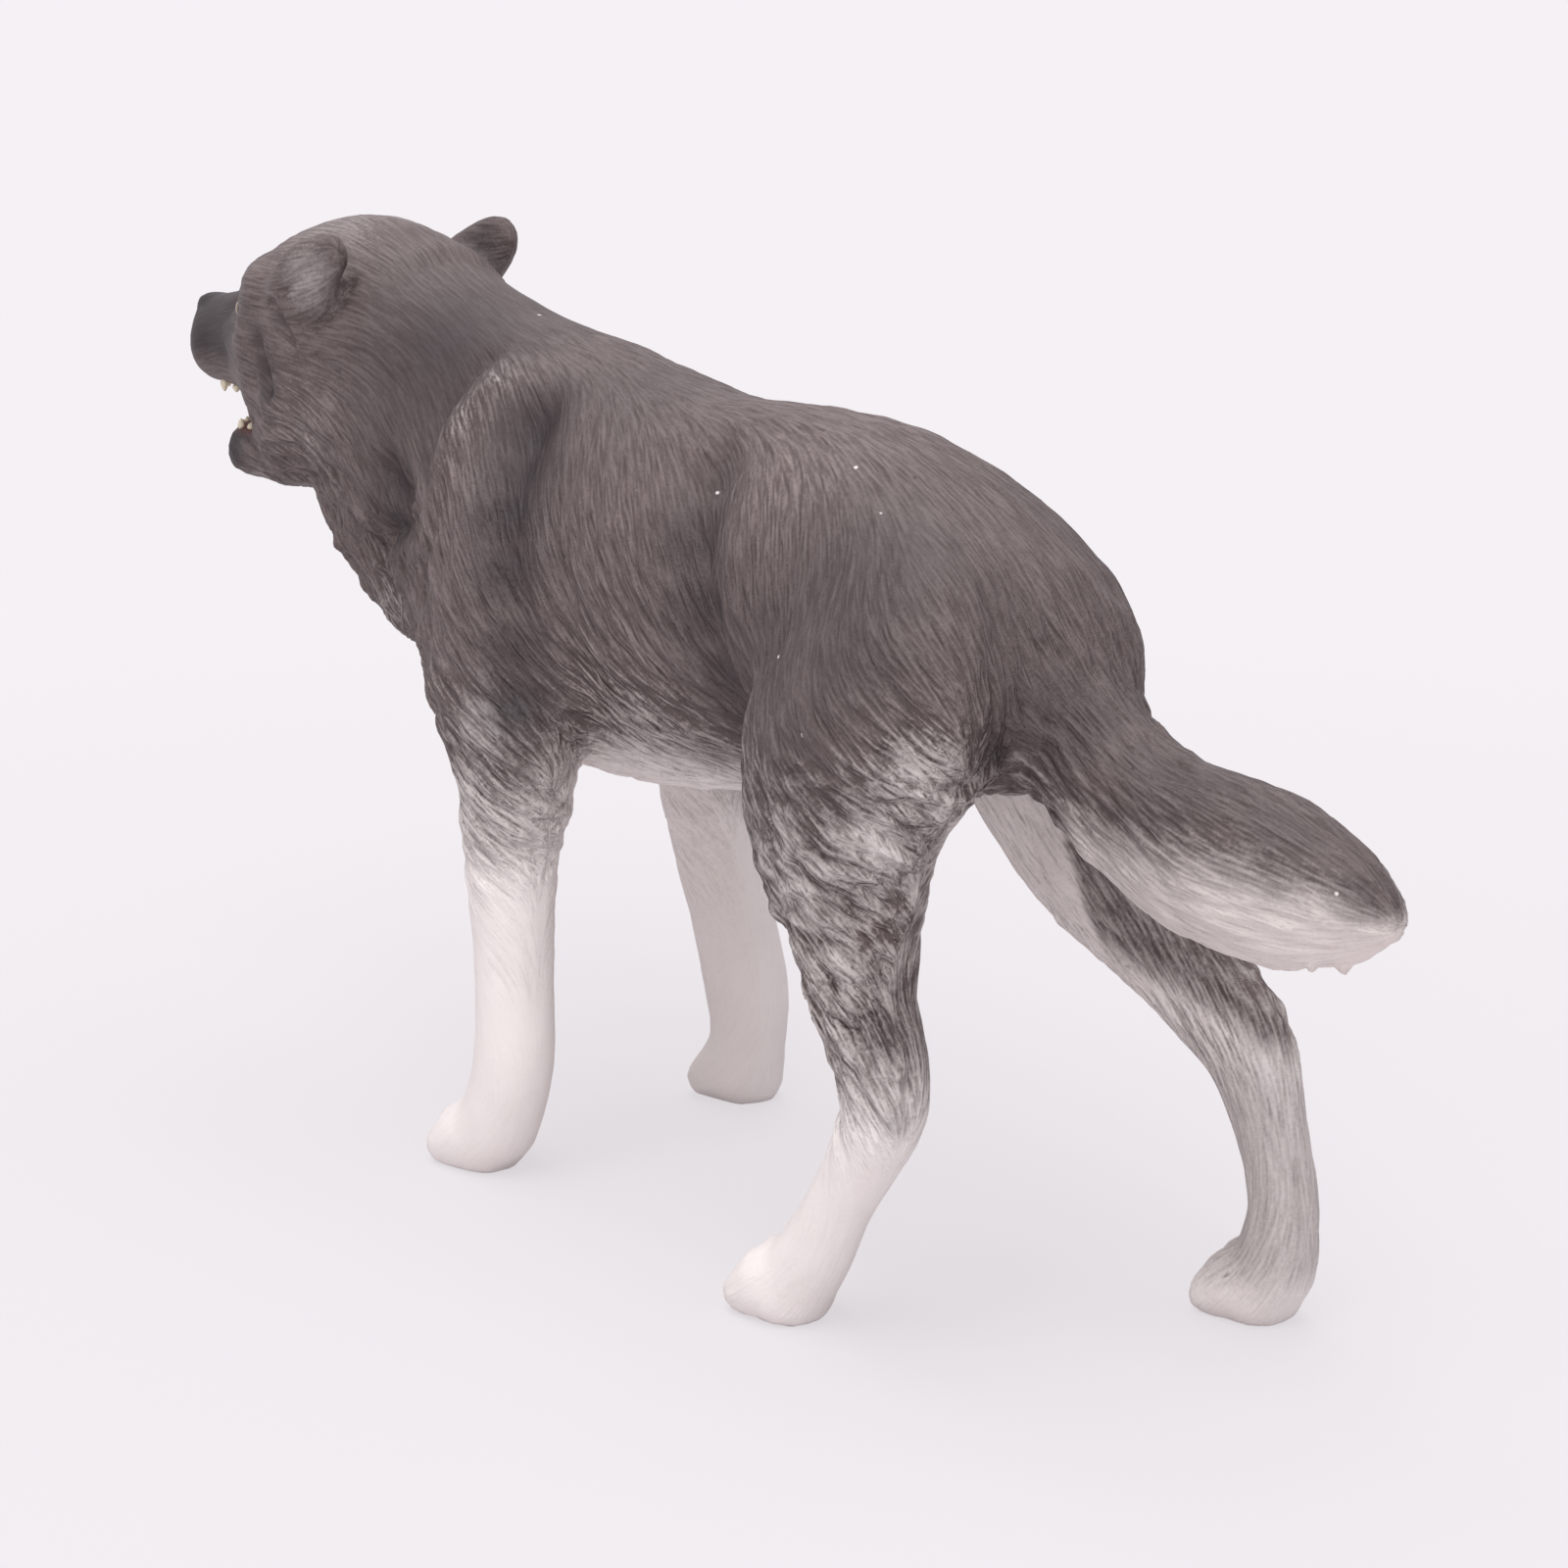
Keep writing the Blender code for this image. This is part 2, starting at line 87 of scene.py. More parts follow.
# How the fur is combed on the wolf's left side: a place in millimetres and the way the hairs lie there
COMB_BOTH_SIDES = {
    "bridge": ((0.0, -46.0, 48.0), (0.0, 0.95, 0.3)),
    "forehead": ((2.0, -40.0, 50.5), (0.1, 0.85, 0.5)),
    "crown": ((1.5, -33.0, 52.5), (0.1, 1.0, 0.0)),
    "temple": ((6.5, -36.0, 46.5), (0.2, 0.95, -0.1)),
    "cheek": ((8.0, -35.0, 41.5), (0.2, 0.85, -0.45)),
    "jaw": ((5.0, -37.0, 37.0), (0.1, 0.9, -0.35)),
    "ear": ((8.5, -30.0, 49.0), (0.0, 0.85, 0.5)),
    "nape": ((2.0, -25.0, 51.0), (0.05, 1.0, -0.2)),
    "neck": ((7.0, -24.0, 46.0), (0.2, 0.9, -0.4)),
    "collar": ((8.5, -19.0, 40.0), (0.2, 0.6, -0.78)),
    "throat side": ((7.5, -27.0, 35.5), (0.1, 0.6, -0.8)),
    "throat": ((2.0, -28.0, 33.0), (0.0, 0.55, -0.84)),
    "breast": ((4.0, -20.0, 27.5), (0.1, 0.35, -0.94)),
    "chest": ((1.0, -14.0, 24.5), (0.0, 0.7, -0.7)),
    "withers": ((1.5, -13.0, 48.0), (0.15, 1.0, -0.15)),
    "shoulder top": ((6.0, -12.0, 44.0), (0.25, 0.35, -0.9)),
    "shoulder": ((10.0, -12.0, 36.0), (0.0, 0.62, -0.78)),
    "upper arm": ((10.5, -11.0, 29.0), (0.0, 0.85, -0.53)),
    "elbow": ((11.0, -9.5, 24.0), (0.0, 0.93, -0.36)),
    "forearm": ((11.5, -8.5, 19.0), (0.0, 0.9, -0.44)),
    "foreleg": ((11.0, -8.0, 12.0), (0.0, 0.55, -0.83)),
    "forepaw": ((10.0, -12.0, 3.0), (0.0, -0.8, -0.6)),
    "spine": ((0.8, 0.0, 46.0), (0.12, 1.0, 0.0)),
    "high ribs": ((5.5, -3.0, 44.2), (0.45, 0.4, -0.8)),
    "ribs": ((9.5, -2.0, 37.0), (0.0, 0.5, -0.87)),
    "mid ribs": ((9.8, 0.0, 33.0), (0.0, 0.8, -0.6)),
    "low ribs": ((9.0, 1.0, 28.5), (-0.1, 0.93, -0.36)),
    "belly edge": ((7.0, 3.0, 25.0), (-0.3, 0.92, -0.25)),
    "belly": ((1.0, 2.0, 22.8), (0.0, 1.0, 0.0)),
    "loin back": ((1.0, 9.0, 45.5), (0.12, 1.0, 0.0)),
    "high loin": ((5.5, 7.0, 43.5), (0.5, 0.35, -0.78)),
    "loin": ((8.6, 7.0, 37.0), (0.0, 0.45, -0.89)),
    "low loin": ((8.8, 8.0, 31.0), (0.0, 0.72, -0.69)),
    "groin": ((7.5, 10.0, 27.0), (-0.1, 0.93, -0.35)),
    "croup": ((1.5, 18.0, 43.8), (0.2, 1.0, -0.15)),
    "hip": ((6.5, 15.0, 42.0), (0.45, 0.3, -0.84)),
    "haunch top": ((8.5, 20.0, 38.5), (0.3, 0.25, -0.92)),
    "haunch": ((11.0, 18.0, 34.0), (0.0, 0.3, -0.95)),
    "haunch back": ((10.0, 26.0, 33.0), (0.0, 0.88, -0.47)),
    "buttock": ((6.0, 29.0, 33.0), (-0.2, 0.9, -0.38)),
    "rump": ((2.5, 26.0, 39.5), (0.1, 0.85, -0.52)),
}
COMB_LEFT = {
    "thigh front": ((11.0, 13.5, 27.0), (0.0, 0.5, -0.87)),
    "thigh": ((13.0, 19.0, 27.0), (0.0, 0.88, -0.48)),
    "thigh back": ((10.5, 26.5, 28.0), (0.0, 0.96, -0.27)),
    "calf": ((12.5, 20.0, 21.0), (0.0, 0.8, -0.6)),
    "shank": ((12.2, 24.5, 17.5), (0.0, 0.8, -0.6)),
    "hock": ((11.5, 26.5, 13.0), (0.0, 0.55, -0.83)),
    "cannon": ((11.0, 23.5, 8.0), (0.0, -0.35, -0.94)),
    "hind paw": ((9.6, 18.0, 3.5), (0.0, -0.85, -0.5)),
}
COMB_RIGHT = {
    "thigh front": ((-9.0, 12.0, 27.0), (0.0, 0.5, -0.87)),
    "thigh": ((-10.5, 18.0, 27.0), (0.0, 0.6, -0.8)),
    "inner thigh": ((-4.5, 19.0, 26.0), (0.0, 0.55, -0.83)),
    "calf": ((-9.0, 22.0, 22.0), (0.0, 0.65, -0.76)),
    "shank": ((-9.3, 27.0, 18.5), (0.0, 0.75, -0.66)),
    "hock": ((-9.6, 32.5, 14.5), (0.0, 0.6, -0.8)),
    "cannon": ((-9.8, 34.0, 9.0), (0.0, 0.2, -0.98)),
    "hind paw": ((-9.8, 32.0, 3.5), (0.0, -0.8, -0.6)),
}
COMB_TAIL = {
    "tail root": ((0.0, 29.0, 34.0), (0.0, 0.75, -0.66)),
    "tail": ((0.0, 35.0, 29.5), (0.0, 0.9, -0.42)),
    "brush": ((0.0, 42.0, 28.0), (0.0, 0.99, -0.12)),
    "tail tip": ((0.0, 50.0, 27.0), (0.0, 1.0, -0.05)),
}
COMB_REACH = 4.2

# Tail: places along it, its middle's height and its half height there, in millimetres
TAIL_ALONG = (25.4, 29.4, 34.4, 39.6, 44.0, 48.2, 51.2)
TAIL_MIDDLE = (35.0, 31.1, 28.5, 27.7, 27.3, 27.2, 26.8)
TAIL_HEIGHT = (3.2, 3.6, 3.9, 4.4, 4.0, 2.7, 0.9)

# Lower edge of the grey on the tail: place along it, and level round it from 1 on top to -1 below
TAIL_EDGE = ((30.0, -0.35), (36.0, 0.0), (44.0, 0.35))
# Lower edge of the dark band on the right shank: place along the body and height, in millimetres
BAND_EDGE = ((21.6, 27.0), (22.4, 24.0), (23.2, 20.5), (24.0, 18.6), (26.4, 17.8), (30.0, 17.1), (32.8, 16.0),
             (34.0, 14.9))

# Folds cut, or ridges raised where the depth is negative, on both sides: depth, breadth and path in millimetres
FOLDS = {
    "groove before the ruff": (0.45, 0.9, ((4.4, -17.4, 46.0), (5.7, -18.0, 44.8), (6.6, -18.4, 43.6),
                                           (8.6, -18.0, 40.2), (9.3, -17.3, 37.5), (9.8, -16.4, 34.6),
                                           (11.0, -13.9, 31.3))),
    "ruff crest": (-0.45, 0.9, ((5.8, -15.0, 44.8), (7.5, -15.6, 43.1), (8.7, -16.1, 40.8))),
    "hollow behind the ruff": (0.9, 1.8, ((5.6, -11.0, 43.2), (6.6, -10.8, 42.0), (7.7, -10.4, 40.3), (8.9, -9.4, 38.0),
                                          (9.8, -7.8, 34.6), (10.2, -6.9, 31.8), (10.4, -6.2, 29.4))),
    "hollow before the haunch": (0.6, 1.9, ((4.8, 5.2, 42.8), (6.2, 6.0, 40.2), (7.4, 7.4, 36.9), (7.3, 8.9, 32.4),
                                            (6.1, 9.6, 29.7))),
    "upper throat hollow": (1.3, 1.4, ((8.7, -22.6, 39.2), (9.0, -20.8, 38.2))),
    "middle throat hollow": (1.3, 1.1, ((9.1, -20.0, 36.4), (8.9, -22.2, 35.8), (8.4, -24.2, 34.6))),
    "lower throat hollow": (0.5, 0.7, ((7.9, -24.4, 32.4), (8.2, -21.6, 30.6))),
    "haunch edge": (0.4, 1.0, ((9.6, 25.6, 35.2), (9.2, 27.6, 32.6), (8.0, 29.0, 30.4))),
    "thigh lock": (0.4, 0.7, ((9.6, 27.2, 30.4), (8.8, 29.0, 28.6))),
    "low thigh lock": (0.4, 0.7, ((10.6, 25.4, 28.4), (9.6, 28.2, 26.2))),
}
# Grooves between the toes, in millimetres: each paw's middle across and its front edge, the distance between two
# grooves, their depth and their breadth
TOES = ((9.6, -14.2), (-9.8, -15.0), (9.6, 15.1), (-9.9, 30.0))
TOE_GAP = 1.1
TOE_DEPTH = 0.4
TOE_BREADTH = 0.35

# Small burrs left by the mould under the tail: places, height and breadth in millimetres
BURRS = ((0.7, 46.6, 24.4), (-0.7, 47.2, 24.2))
BURR_HEIGHT = 0.45
BURR_BREADTH = 0.3

# Folds and ridges of the head, the same way, in the head's own frame
HEAD_FOLDS = {
    "behind the ear": (0.5, 0.4, ((5.6, -4.3, 5.3), (6.2, -4.2, 4.4), (6.8, -5.0, 3.3), (7.2, -6.0, 2.6))),
    "before the ear": (0.35, 0.4, ((7.8, -4.3, 7.0), (7.9, -6.2, 5.7), (7.7, -8.2, 4.5))),
    "below the ear": (0.45, 0.4, ((7.4, -9.4, 3.7), (7.5, -8.6, 2.6), (7.5, -7.7, 1.6))),
    "upper eyelid": (-0.35, 0.45, ((5.7, -14.8, 3.4), (4.7, -16.2, 3.8), (3.6, -17.6, 3.3))),
    "lower eyelid": (-0.2, 0.35, ((5.5, -15.0, 2.0), (4.4, -16.5, 1.75), (3.6, -17.4, 2.1))),
    "upper cheek": (0.6, 0.5, ((7.2, -11.0, 1.2), (7.4, -10.3, -0.2), (7.6, -9.6, -1.6))),
    "front cheek": (0.4, 0.4, ((6.6, -12.0, -1.0), (7.2, -10.9, -1.8), (7.4, -9.8, -3.2))),
    "lower cheek": (0.45, 0.6, ((6.9, -10.9, -3.0), (7.3, -5.7, -3.7), (7.5, -2.3, -6.7))),
    "cheek clump": (-0.4, 1.2, ((7.2, -9.4, -2.2), (7.6, -5.2, -2.6), (7.6, -1.6, -5.0))),
    "mid cheek": (0.3, 0.4, ((7.3, -5.6, 0.9), (7.5, -3.6, 0.2))),
    "short cheek": (0.3, 0.4, ((7.5, -4.4, -0.8), (7.6, -2.6, -1.6))),
}

# Paint laid on by places, on both sides alike: place in millimetres, reach and strength.
# Where the grey coat is thinner and the white vinyl shows through it
BARE_PATCHES = (
    ((8.8, 27.8, 30.8), 3.0, 0.47),
    ((10.9, 26.2, 26.7), 3.1, 0.52),
    ((11.6, 15.5, 24.5), 3.0, 0.3),
    ((12.3, 21.5, 24.4), 4.0, 0.4),
    ((12.0, 24.0, 20.0), 4.5, 0.36),
    ((7.4, -15.4, 43.0), 1.4, 0.3),
    ((8.0, 2.0, 27.0), 4.0, 0.3),
    ((7.6, -24.2, 31.4), 2.0, 0.3),
    ((11.6, -8.0, 27.0), 2.0, 0.36),
    ((11.8, -9.6, 22.4), 2.2, 0.3),
    ((5.4, -14.8, 45.3), 1.4, 0.25),
)
# Where a darker grey is sprayed along the back and into the hollows; in the hollows it is also painted shade
DARK_SPRAY_AND_PAINTED_SHADE = (
    ((4.5, -21.5, 46.5), 7.0, 0.85),
    ((7.5, -22.5, 43.0), 4.0, 0.6),
    ((6.6, -18.6, 43.8), 2.0, 0.75),
    ((8.6, -18.2, 40.6), 2.0, 0.6),
    ((3.5, -6.0, 46.5), 7.0, 0.35),
    ((11.0, 18.0, 33.0), 8.0, 0.4),
    ((7.5, 21.0, 39.5), 6.0, 0.6),
    ((6.0, -18.3, 44.4), 1.2, 0.5),
    ((4.6, -10.2, 44.4), 2.4, 0.7),
    ((5.8, -10.6, 42.9), 3.2, 1.0),
    ((7.0, -10.0, 41.2), 3.2, 1.0),
    ((8.3, -9.4, 39.0), 3.0, 1.0),
    ((9.4, -8.2, 36.0), 2.6, 0.9),
    ((10.2, -6.8, 31.4), 2.2, 0.75),
    ((10.4, -6.2, 28.6), 2.4, 0.95),
    ((5.2, 5.4, 42.4), 2.0, 0.5),
    ((6.6, 6.2, 39.6), 2.8, 0.75),
    ((7.4, 7.6, 36.0), 2.8, 0.75),
    ((7.3, 9.0, 32.4), 2.2, 0.8),
    ((6.4, 9.6, 29.8), 1.6, 0.8),
    ((10.6, 17.0, 36.0), 5.0, 0.5),
    ((9.8, 22.5, 36.5), 5.0, 0.5),
    ((11.0, 20.0, 31.5), 4.0, 0.4),
    ((8.8, -21.7, 38.8), 2.7, 1.0),
    ((8.8, -21.6, 36.0), 2.3, 1.0),
    ((8.4, -24.0, 34.6), 1.0, 0.8),
    ((7.9, -23.6, 32.2), 0.9, 0.6),
    ((7.4, -21.0, 42.6), 2.6, 0.35),
    ((2.5, 26.0, 37.0), 5.0, 0.35),
    ((2.0, 30.5, 33.4), 3.6, 0.6),
    ((1.0, 38.0, 31.6), 6.0, 0.5),
    ((1.0, 44.0, 30.5), 5.0, 0.4),
    ((1.0, 49.5, 28.4), 2.0, 0.5),
    ((2.8, 43.5, 28.6), 0.7, 0.35),
    ((2.5, 45.9, 28.2), 0.7, 0.4),
    ((4.6, 28.4, 31.4), 1.3, 0.8),
    ((10.6, 27.5, 18.5), 2.2, 0.45),
    ((11.0, 28.6, 13.4), 0.8, 0.8),
)
# The thinner coat and the darker spray on the head, in its own frame; the spray is also painted shade in the cheek
# furrows and behind the ear's rim
HEAD_BARE = (
    ((7.6, -5.6, 5.6), 3.2, 0.42),
    ((2.5, -9.0, 7.5), 6.0, 0.32),
    ((7.4, -6.0, -1.5), 3.5, 0.2),
    ((1.0, -18.5, -8.4), 2.4, 0.35),
)
HEAD_SPRAY_AND_PAINTED_SHADE = (
    ((7.4, -8.9, 2.9), 0.55, 0.8),
    ((6.3, -4.3, 4.2), 0.4, 0.7),
    ((5.6, -4.3, 5.3), 0.5, 0.6),
    ((7.4, -10.3, -0.2), 1.2, 1.0),
    ((7.6, -9.6, -1.6), 1.0, 1.0),
    ((7.2, -11.0, 1.6), 1.0, 0.7),
    ((7.3, -4.4, -4.6), 0.8, 0.6),
    ((6.0, -13.0, 3.0), 1.4, 0.4),
    ((5.0, -15.6, 3.2), 1.5, 0.8),
    ((3.6, -17.0, 3.6), 1.0, 0.6),
)
# The painted shade at the root of the right ear, and its reach
RIGHT_EAR_ROOT_SHADE = ((-4.7, -32.6, 50.8), 1.6)
# Where pale paint is rubbed over the tops of the hairs, also standing as a painted highlight on the raised strokes
PALE_RUB_AND_PAINTED_HIGHLIGHT = (
    ((7.6, 1.0, 28.0), 5.5, 0.9),
    ((8.0, -0.5, 28.4), 4.5, 0.9),
    ((8.6, -1.5, 34.0), 5.0, 0.2),
    ((11.5, 16.0, 28.0), 4.5, 0.7),
    ((11.8, 21.0, 20.5), 6.0, 1.0),
    ((11.0, -8.5, 22.0), 4.5, 0.7),
    ((7.5, -15.6, 43.1), 1.6, 1.0),
    ((5.4, -14.8, 45.3), 1.6, 0.8),
    ((8.4, -14.4, 40.0), 2.6, 0.35),
    ((4.5, 12.0, 43.0), 6.0, 0.3),
    ((8.2, -31.0, 40.0), 4.0, 0.6),
    ((7.6, -23.5, 32.0), 4.0, 0.4),
    ((8.5, 27.5, 32.0), 4.0, 0.6),
    ((2.5, 40.0, 28.0), 6.0, 0.3),
)
# Where dark paint is washed in between the hairs, which also darkens their grooves as painted shade
GROOVE_WASH_AND_PAINTED_SHADE = (
    ((8.4, 0.0, 30.0), 7.0, 0.95),
    ((8.6, 7.5, 34.0), 4.0, 0.6),
    ((11.5, 18.0, 25.0), 6.0, 0.95),
    ((11.8, 24.0, 18.5), 5.5, 1.0),
    ((9.0, 27.5, 31.0), 4.5, 1.0),
    ((11.0, -8.0, 23.5), 4.5, 0.9),
    ((8.2, -31.0, 40.0), 4.5, 0.7),
    ((7.6, -23.5, 34.5), 5.0, 1.0),
    ((4.0, 14.0, 43.0), 7.0, 0.45),
    ((0.0, 34.0, 28.0), 7.0, 0.35),
    ((8.0, 31.0, 16.0), 5.0, 0.7),
    ((9.8, 34.0, 9.0), 6.0, 0.6),
    ((9.8, 32.0, 3.0), 4.0, 0.5),
    ((9.8, -3.0, 14.0), 6.0, 0.25),
)

# Teeth of one side in the head's frame: place in millimetres, jaw (1 upper, -1 lower), and length and radius in
# tooth units
TEETH = (
    ((1.85, -21.0), 1, 1.7, 0.48),
    ((2.1, -19.5), 1, 1.1, 0.5),
    ((2.25, -18.5), 1, 1.1, 0.55),
    ((2.3, -17.5), 1, 1.1, 0.6),
    ((0.3, -21.9), 1, 0.9, 0.36),
    ((0.85, -21.8), 1, 1.0, 0.38),
    ((1.35, -21.5), 1, 0.9, 0.36),
    ((1.25, -20.2), -1, 1.4, 0.44),
    ((1.45, -19.0), -1, 0.9, 0.45),
    ((1.55, -18.1), -1, 0.9, 0.5),
    ((0.25, -20.8), -1, 0.8, 0.34),
    ((0.75, -20.6), -1, 0.8, 0.34),
)

# Fine hair strokes drawn in the paint, in millimetres: places along a hair where the noise is read, their width and
# the height that the bump gives them. The gain brings back the contrast that averaging along a hair takes away
STROKE_STEPS = (-0.6, -0.45, -0.3, -0.15, 0.0, 0.15, 0.3, 0.45, 0.6)
STROKE_WIDTH = 0.18
STROKE_HEIGHT = 0.11
STROKE_GAIN = 3.8

# Width of the finer patterns, in millimetres: specks in the paint's edge, clouds in its tone, and specks of dust
SPECK_WIDTH = 0.2
CLOUD_WIDTH = 3.0
DUST_APART = 4.5

# Camera from the middle of the figurine's footprint, in millimetres, and its sensor's width
CAMERA_AT = (123.47, 168.18, 75.7)
SENSOR_WIDTH = 36

# The pale background that the floor and the world show
BACKGROUND = "#F5F1F5"

# The height that the lamps are turned to, in metres
LAMPS_AIM = 0.025

# Soft lamps: name, place and width in metres, power in watts
LAMPS = (
    ("key_softbox", (0.35, 0.20, 0.75), 0.6, 3.7),
    ("top_softbox", (-0.10, -0.20, 0.85), 0.7, 4.0),
    ("fill_softbox", (0.45, 0.65, 0.13), 0.5, 1.7),
)


def linear(code):
    """A colour socket's value from an sRGB hex code."""
    parts = [int(code[i:i + 2], 16) / 255 for i in (1, 3, 5)]
    return (*[p / 12.92 if p <= 0.04045 else ((p + 0.055) / 1.055) ** 2.4 for p in parts], 1.0)


class WolfSkin(bpy.types.PropertyGroup):
    """Sizes and paints of the moulded body."""
    voxel: bpy.props.FloatProperty(name="Skin grain", description="Fineness at which the fur is worked",
                                   default=0.165 * MM, unit="LENGTH")
    triangles: bpy.props.IntProperty(name="Triangles", description="Faces left on the skin", default=195000)
    smoothing: bpy.props.IntProperty(name="Smoothing", description="Passes that take off the facets", default=22)
    hair_width: bpy.props.FloatProperty(name="Hair width", description="Distance between moulded hair strokes",
                                        default=0.58 * MM, unit="LENGTH")
    hair_length: bpy.props.FloatProperty(name="Hair length", description="Length of a moulded hair stroke",
                                         default=3.4 * MM, unit="LENGTH")
    hair_depth: bpy.props.FloatProperty(name="Hair depth", description="Height of the hair strokes",
                                        default=0.2 * MM, unit="LENGTH")
    lock_width: bpy.props.FloatProperty(name="Lock width", description="Distance between locks of fur",
                                        default=1.6 * MM, unit="LENGTH")
    lock_length: bpy.props.FloatProperty(name="Lock length", description="Length of a lock of fur",
                                         default=5.5 * MM, unit="LENGTH")
    curl_width: bpy.props.FloatProperty(name="Curl width", description="Distance between the thigh's wavy tufts",
                                        default=0.95 * MM, unit="LENGTH")
    curl_length: bpy.props.FloatProperty(name="Curl length", description="Length of a wavy tuft",
                                         default=3.0 * MM, unit="LENGTH")
    lock_depth: bpy.props.FloatProperty(name="Lock depth", description="Height of the locks of fur",
                                        default=0.3 * MM, unit="LENGTH")
    white: bpy.props.FloatVectorProperty(name="White", description="The bare vinyl",
                                         subtype="COLOR", size=4, default=linear("#F4EDEB"))
    white_shade: bpy.props.FloatVectorProperty(name="White in clouds", description="The bare vinyl where it is dirtier",
                                               subtype="COLOR", size=4, default=linear("#EBE2DF"))
    grey: bpy.props.FloatVectorProperty(name="Grey", description="The sprayed coat",
                                        subtype="COLOR", size=4, default=linear("#726564"))
    grey_shade: bpy.props.FloatVectorProperty(name="Grey in clouds", description="The coat where it is thicker",
                                              subtype="COLOR", size=4, default=linear("#615453"))
    # Used both for the spray along the back and for painted shade in the hollows
    dark: bpy.props.FloatVectorProperty(name="Dark grey", description="The spray in the hollows",
                                        subtype="COLOR", size=4, default=linear("#282429"))
    nose: bpy.props.FloatVectorProperty(name="Nose", description="The paint on the nose",
                                        subtype="COLOR", size=4, default=linear("#2B2728"))


class WolfFace(bpy.types.PropertyGroup):
    """Sizes and colours of the eyes, teeth and tongue."""
    eye: bpy.props.FloatProperty(name="Eye radius", description="Radius of an eyeball", default=0.95 * MM,
                                 unit="LENGTH")
    eye_proud: bpy.props.FloatProperty(name="Eye showing", description="How far an eye stands out of its socket",
                                       default=0.12 * MM, unit="LENGTH")
    tooth: bpy.props.FloatProperty(name="Tooth unit", description="Length that the teeth are given in",
                                   default=0.5 * MM, unit="LENGTH")
    tongue: bpy.props.FloatProperty(name="Tongue length", description="Length of the tongue", default=4.4 * MM,
                                    unit="LENGTH")
    iris: bpy.props.FloatVectorProperty(name="Iris", description="The light flecks of the iris",
                                        subtype="COLOR", size=4, default=linear("#8A6123"))
    ivory: bpy.props.FloatVectorProperty(name="Teeth", description="The paint on the teeth",
                                         subtype="COLOR", size=4, default=linear("#EFE6D2"))
    pink: bpy.props.FloatVectorProperty(name="Tongue", description="The paint on the tongue",
                                        subtype="COLOR", size=4, default=linear("#A9615C"))


class WolfStage(bpy.types.PropertyGroup):
    """Floor and camera."""
    floor_size: bpy.props.FloatProperty(name="Floor", description="Width of the floor", default=4.0, unit="LENGTH")
    paper: bpy.props.FloatVectorProperty(name="Paper", description="The floor's own colour",
                                         subtype="COLOR", size=4, default=linear("#CBC6C9"))
    lens: bpy.props.FloatProperty(name="Lens", description="Focal length on a 36 mm wide sensor, in millimetres",
                                  default=87.99)
    pitch: bpy.props.FloatProperty(name="Pitch", description="How far the camera looks down",
                                   default=math.radians(14.0), subtype="ANGLE")
    heading: bpy.props.FloatProperty(name="Heading", description="Turn of the camera from looking along -Y",
                                     default=math.radians(37.09), subtype="ANGLE")


def ramp(values, low, high):
    """0 below low, 1 above high, smooth between. Low may be the greater, which turns it round."""
    share = np.clip((values - low) / (high - low), 0, 1)
    return share * share * (3 - 2 * share)


def grain(points, step, seed):
    """Smooth random values between -1 and 1, one per point, that turn over in about a step."""
    cell = points / step
    corner = np.floor(cell).astype(np.int64)
    part = cell - corner
    part = part * part * (3 - 2 * part)
    total = np.zeros(len(points))
    for dx in (0, 1):
        for dy in (0, 1):
            for dz in (0, 1):
                mixed = ((corner[:, 0] + dx) * 73856093) ^ ((corner[:, 1] + dy) * 19349663) \
                    ^ ((corner[:, 2] + dz) * 83492791) ^ (seed * 2654435761)
                mixed = (mixed ^ (mixed >> 13)) * 1274126177 & 0xFFFFFFFF
                mixed = (mixed ^ (mixed >> 16)) & 0xFFFF
                weight = ((part[:, 0] if dx else 1 - part[:, 0]) * (part[:, 1] if dy else 1 - part[:, 1])
                          * (part[:, 2] if dz else 1 - part[:, 2]))
                total += weight * (mixed / 32767.5 - 1)
    return total


def combed(points, normals):
    """The way the hairs lie at each point: the nearby comb marks, blended and laid along the skin."""
    marks = []
    for place, lie in COMB_BOTH_SIDES.values():
        marks.append((place, lie))
        marks.append(((-place[0], *place[1:]), (-lie[0], *lie[1:])))
    for table in (COMB_LEFT, COMB_RIGHT, COMB_TAIL):
        marks.extend(table.values())
    total = np.zeros_like(points)
    for place, lie in marks:
        away = ((points / MM - place) ** 2).sum(1) / (2 * COMB_REACH ** 2)
        total += np.exp(-np.minimum(away, 60))[:, None] * np.array(lie)
    total -= normals * (total * normals).sum(1)[:, None]
    return total / (np.linalg.norm(total, axis=1)[:, None] + 1e-12)


def drawn_out(points, lie, step, length, seed):
    """Random values drawn out along the hairs, scaled to about -1 to 1."""
    samples = math.ceil(length / (0.7 * step))
    total = np.zeros(len(points))
    weights = 0
    for k in np.linspace(-0.5, 0.5, samples):
        weight = 0.5 + 0.5 * math.cos(2 * math.pi * k)
        total += weight * grain(points + lie * (k * length), step, seed)
        weights += weight
    total /= weights
    return np.clip(total / (2.2 * total.std()), -1, 1)


def near(points, place, reach):
    """1 at a place in millimetres, falling to 0 about two reaches away."""
    return np.exp(-((points / MM - place) ** 2).sum(1) / (reach * reach))


def left_side(points):
    """The points, with those of the wolf's right side mirrored to its left."""
    return np.where(points[:, :1] < 0, points * (-1, 1, 1), points)


def head_places(points):
    """Places in the head's own frame, in millimetres."""
    moved = points / MM - HEAD_JOINT
    turn, lean = math.cos(HEAD_TURN), math.sin(HEAD_TURN)
    return np.column_stack([turn * moved[:, 0] + lean * moved[:, 1], turn * moved[:, 1] - lean * moved[:, 0],
                            moved[:, 2]])


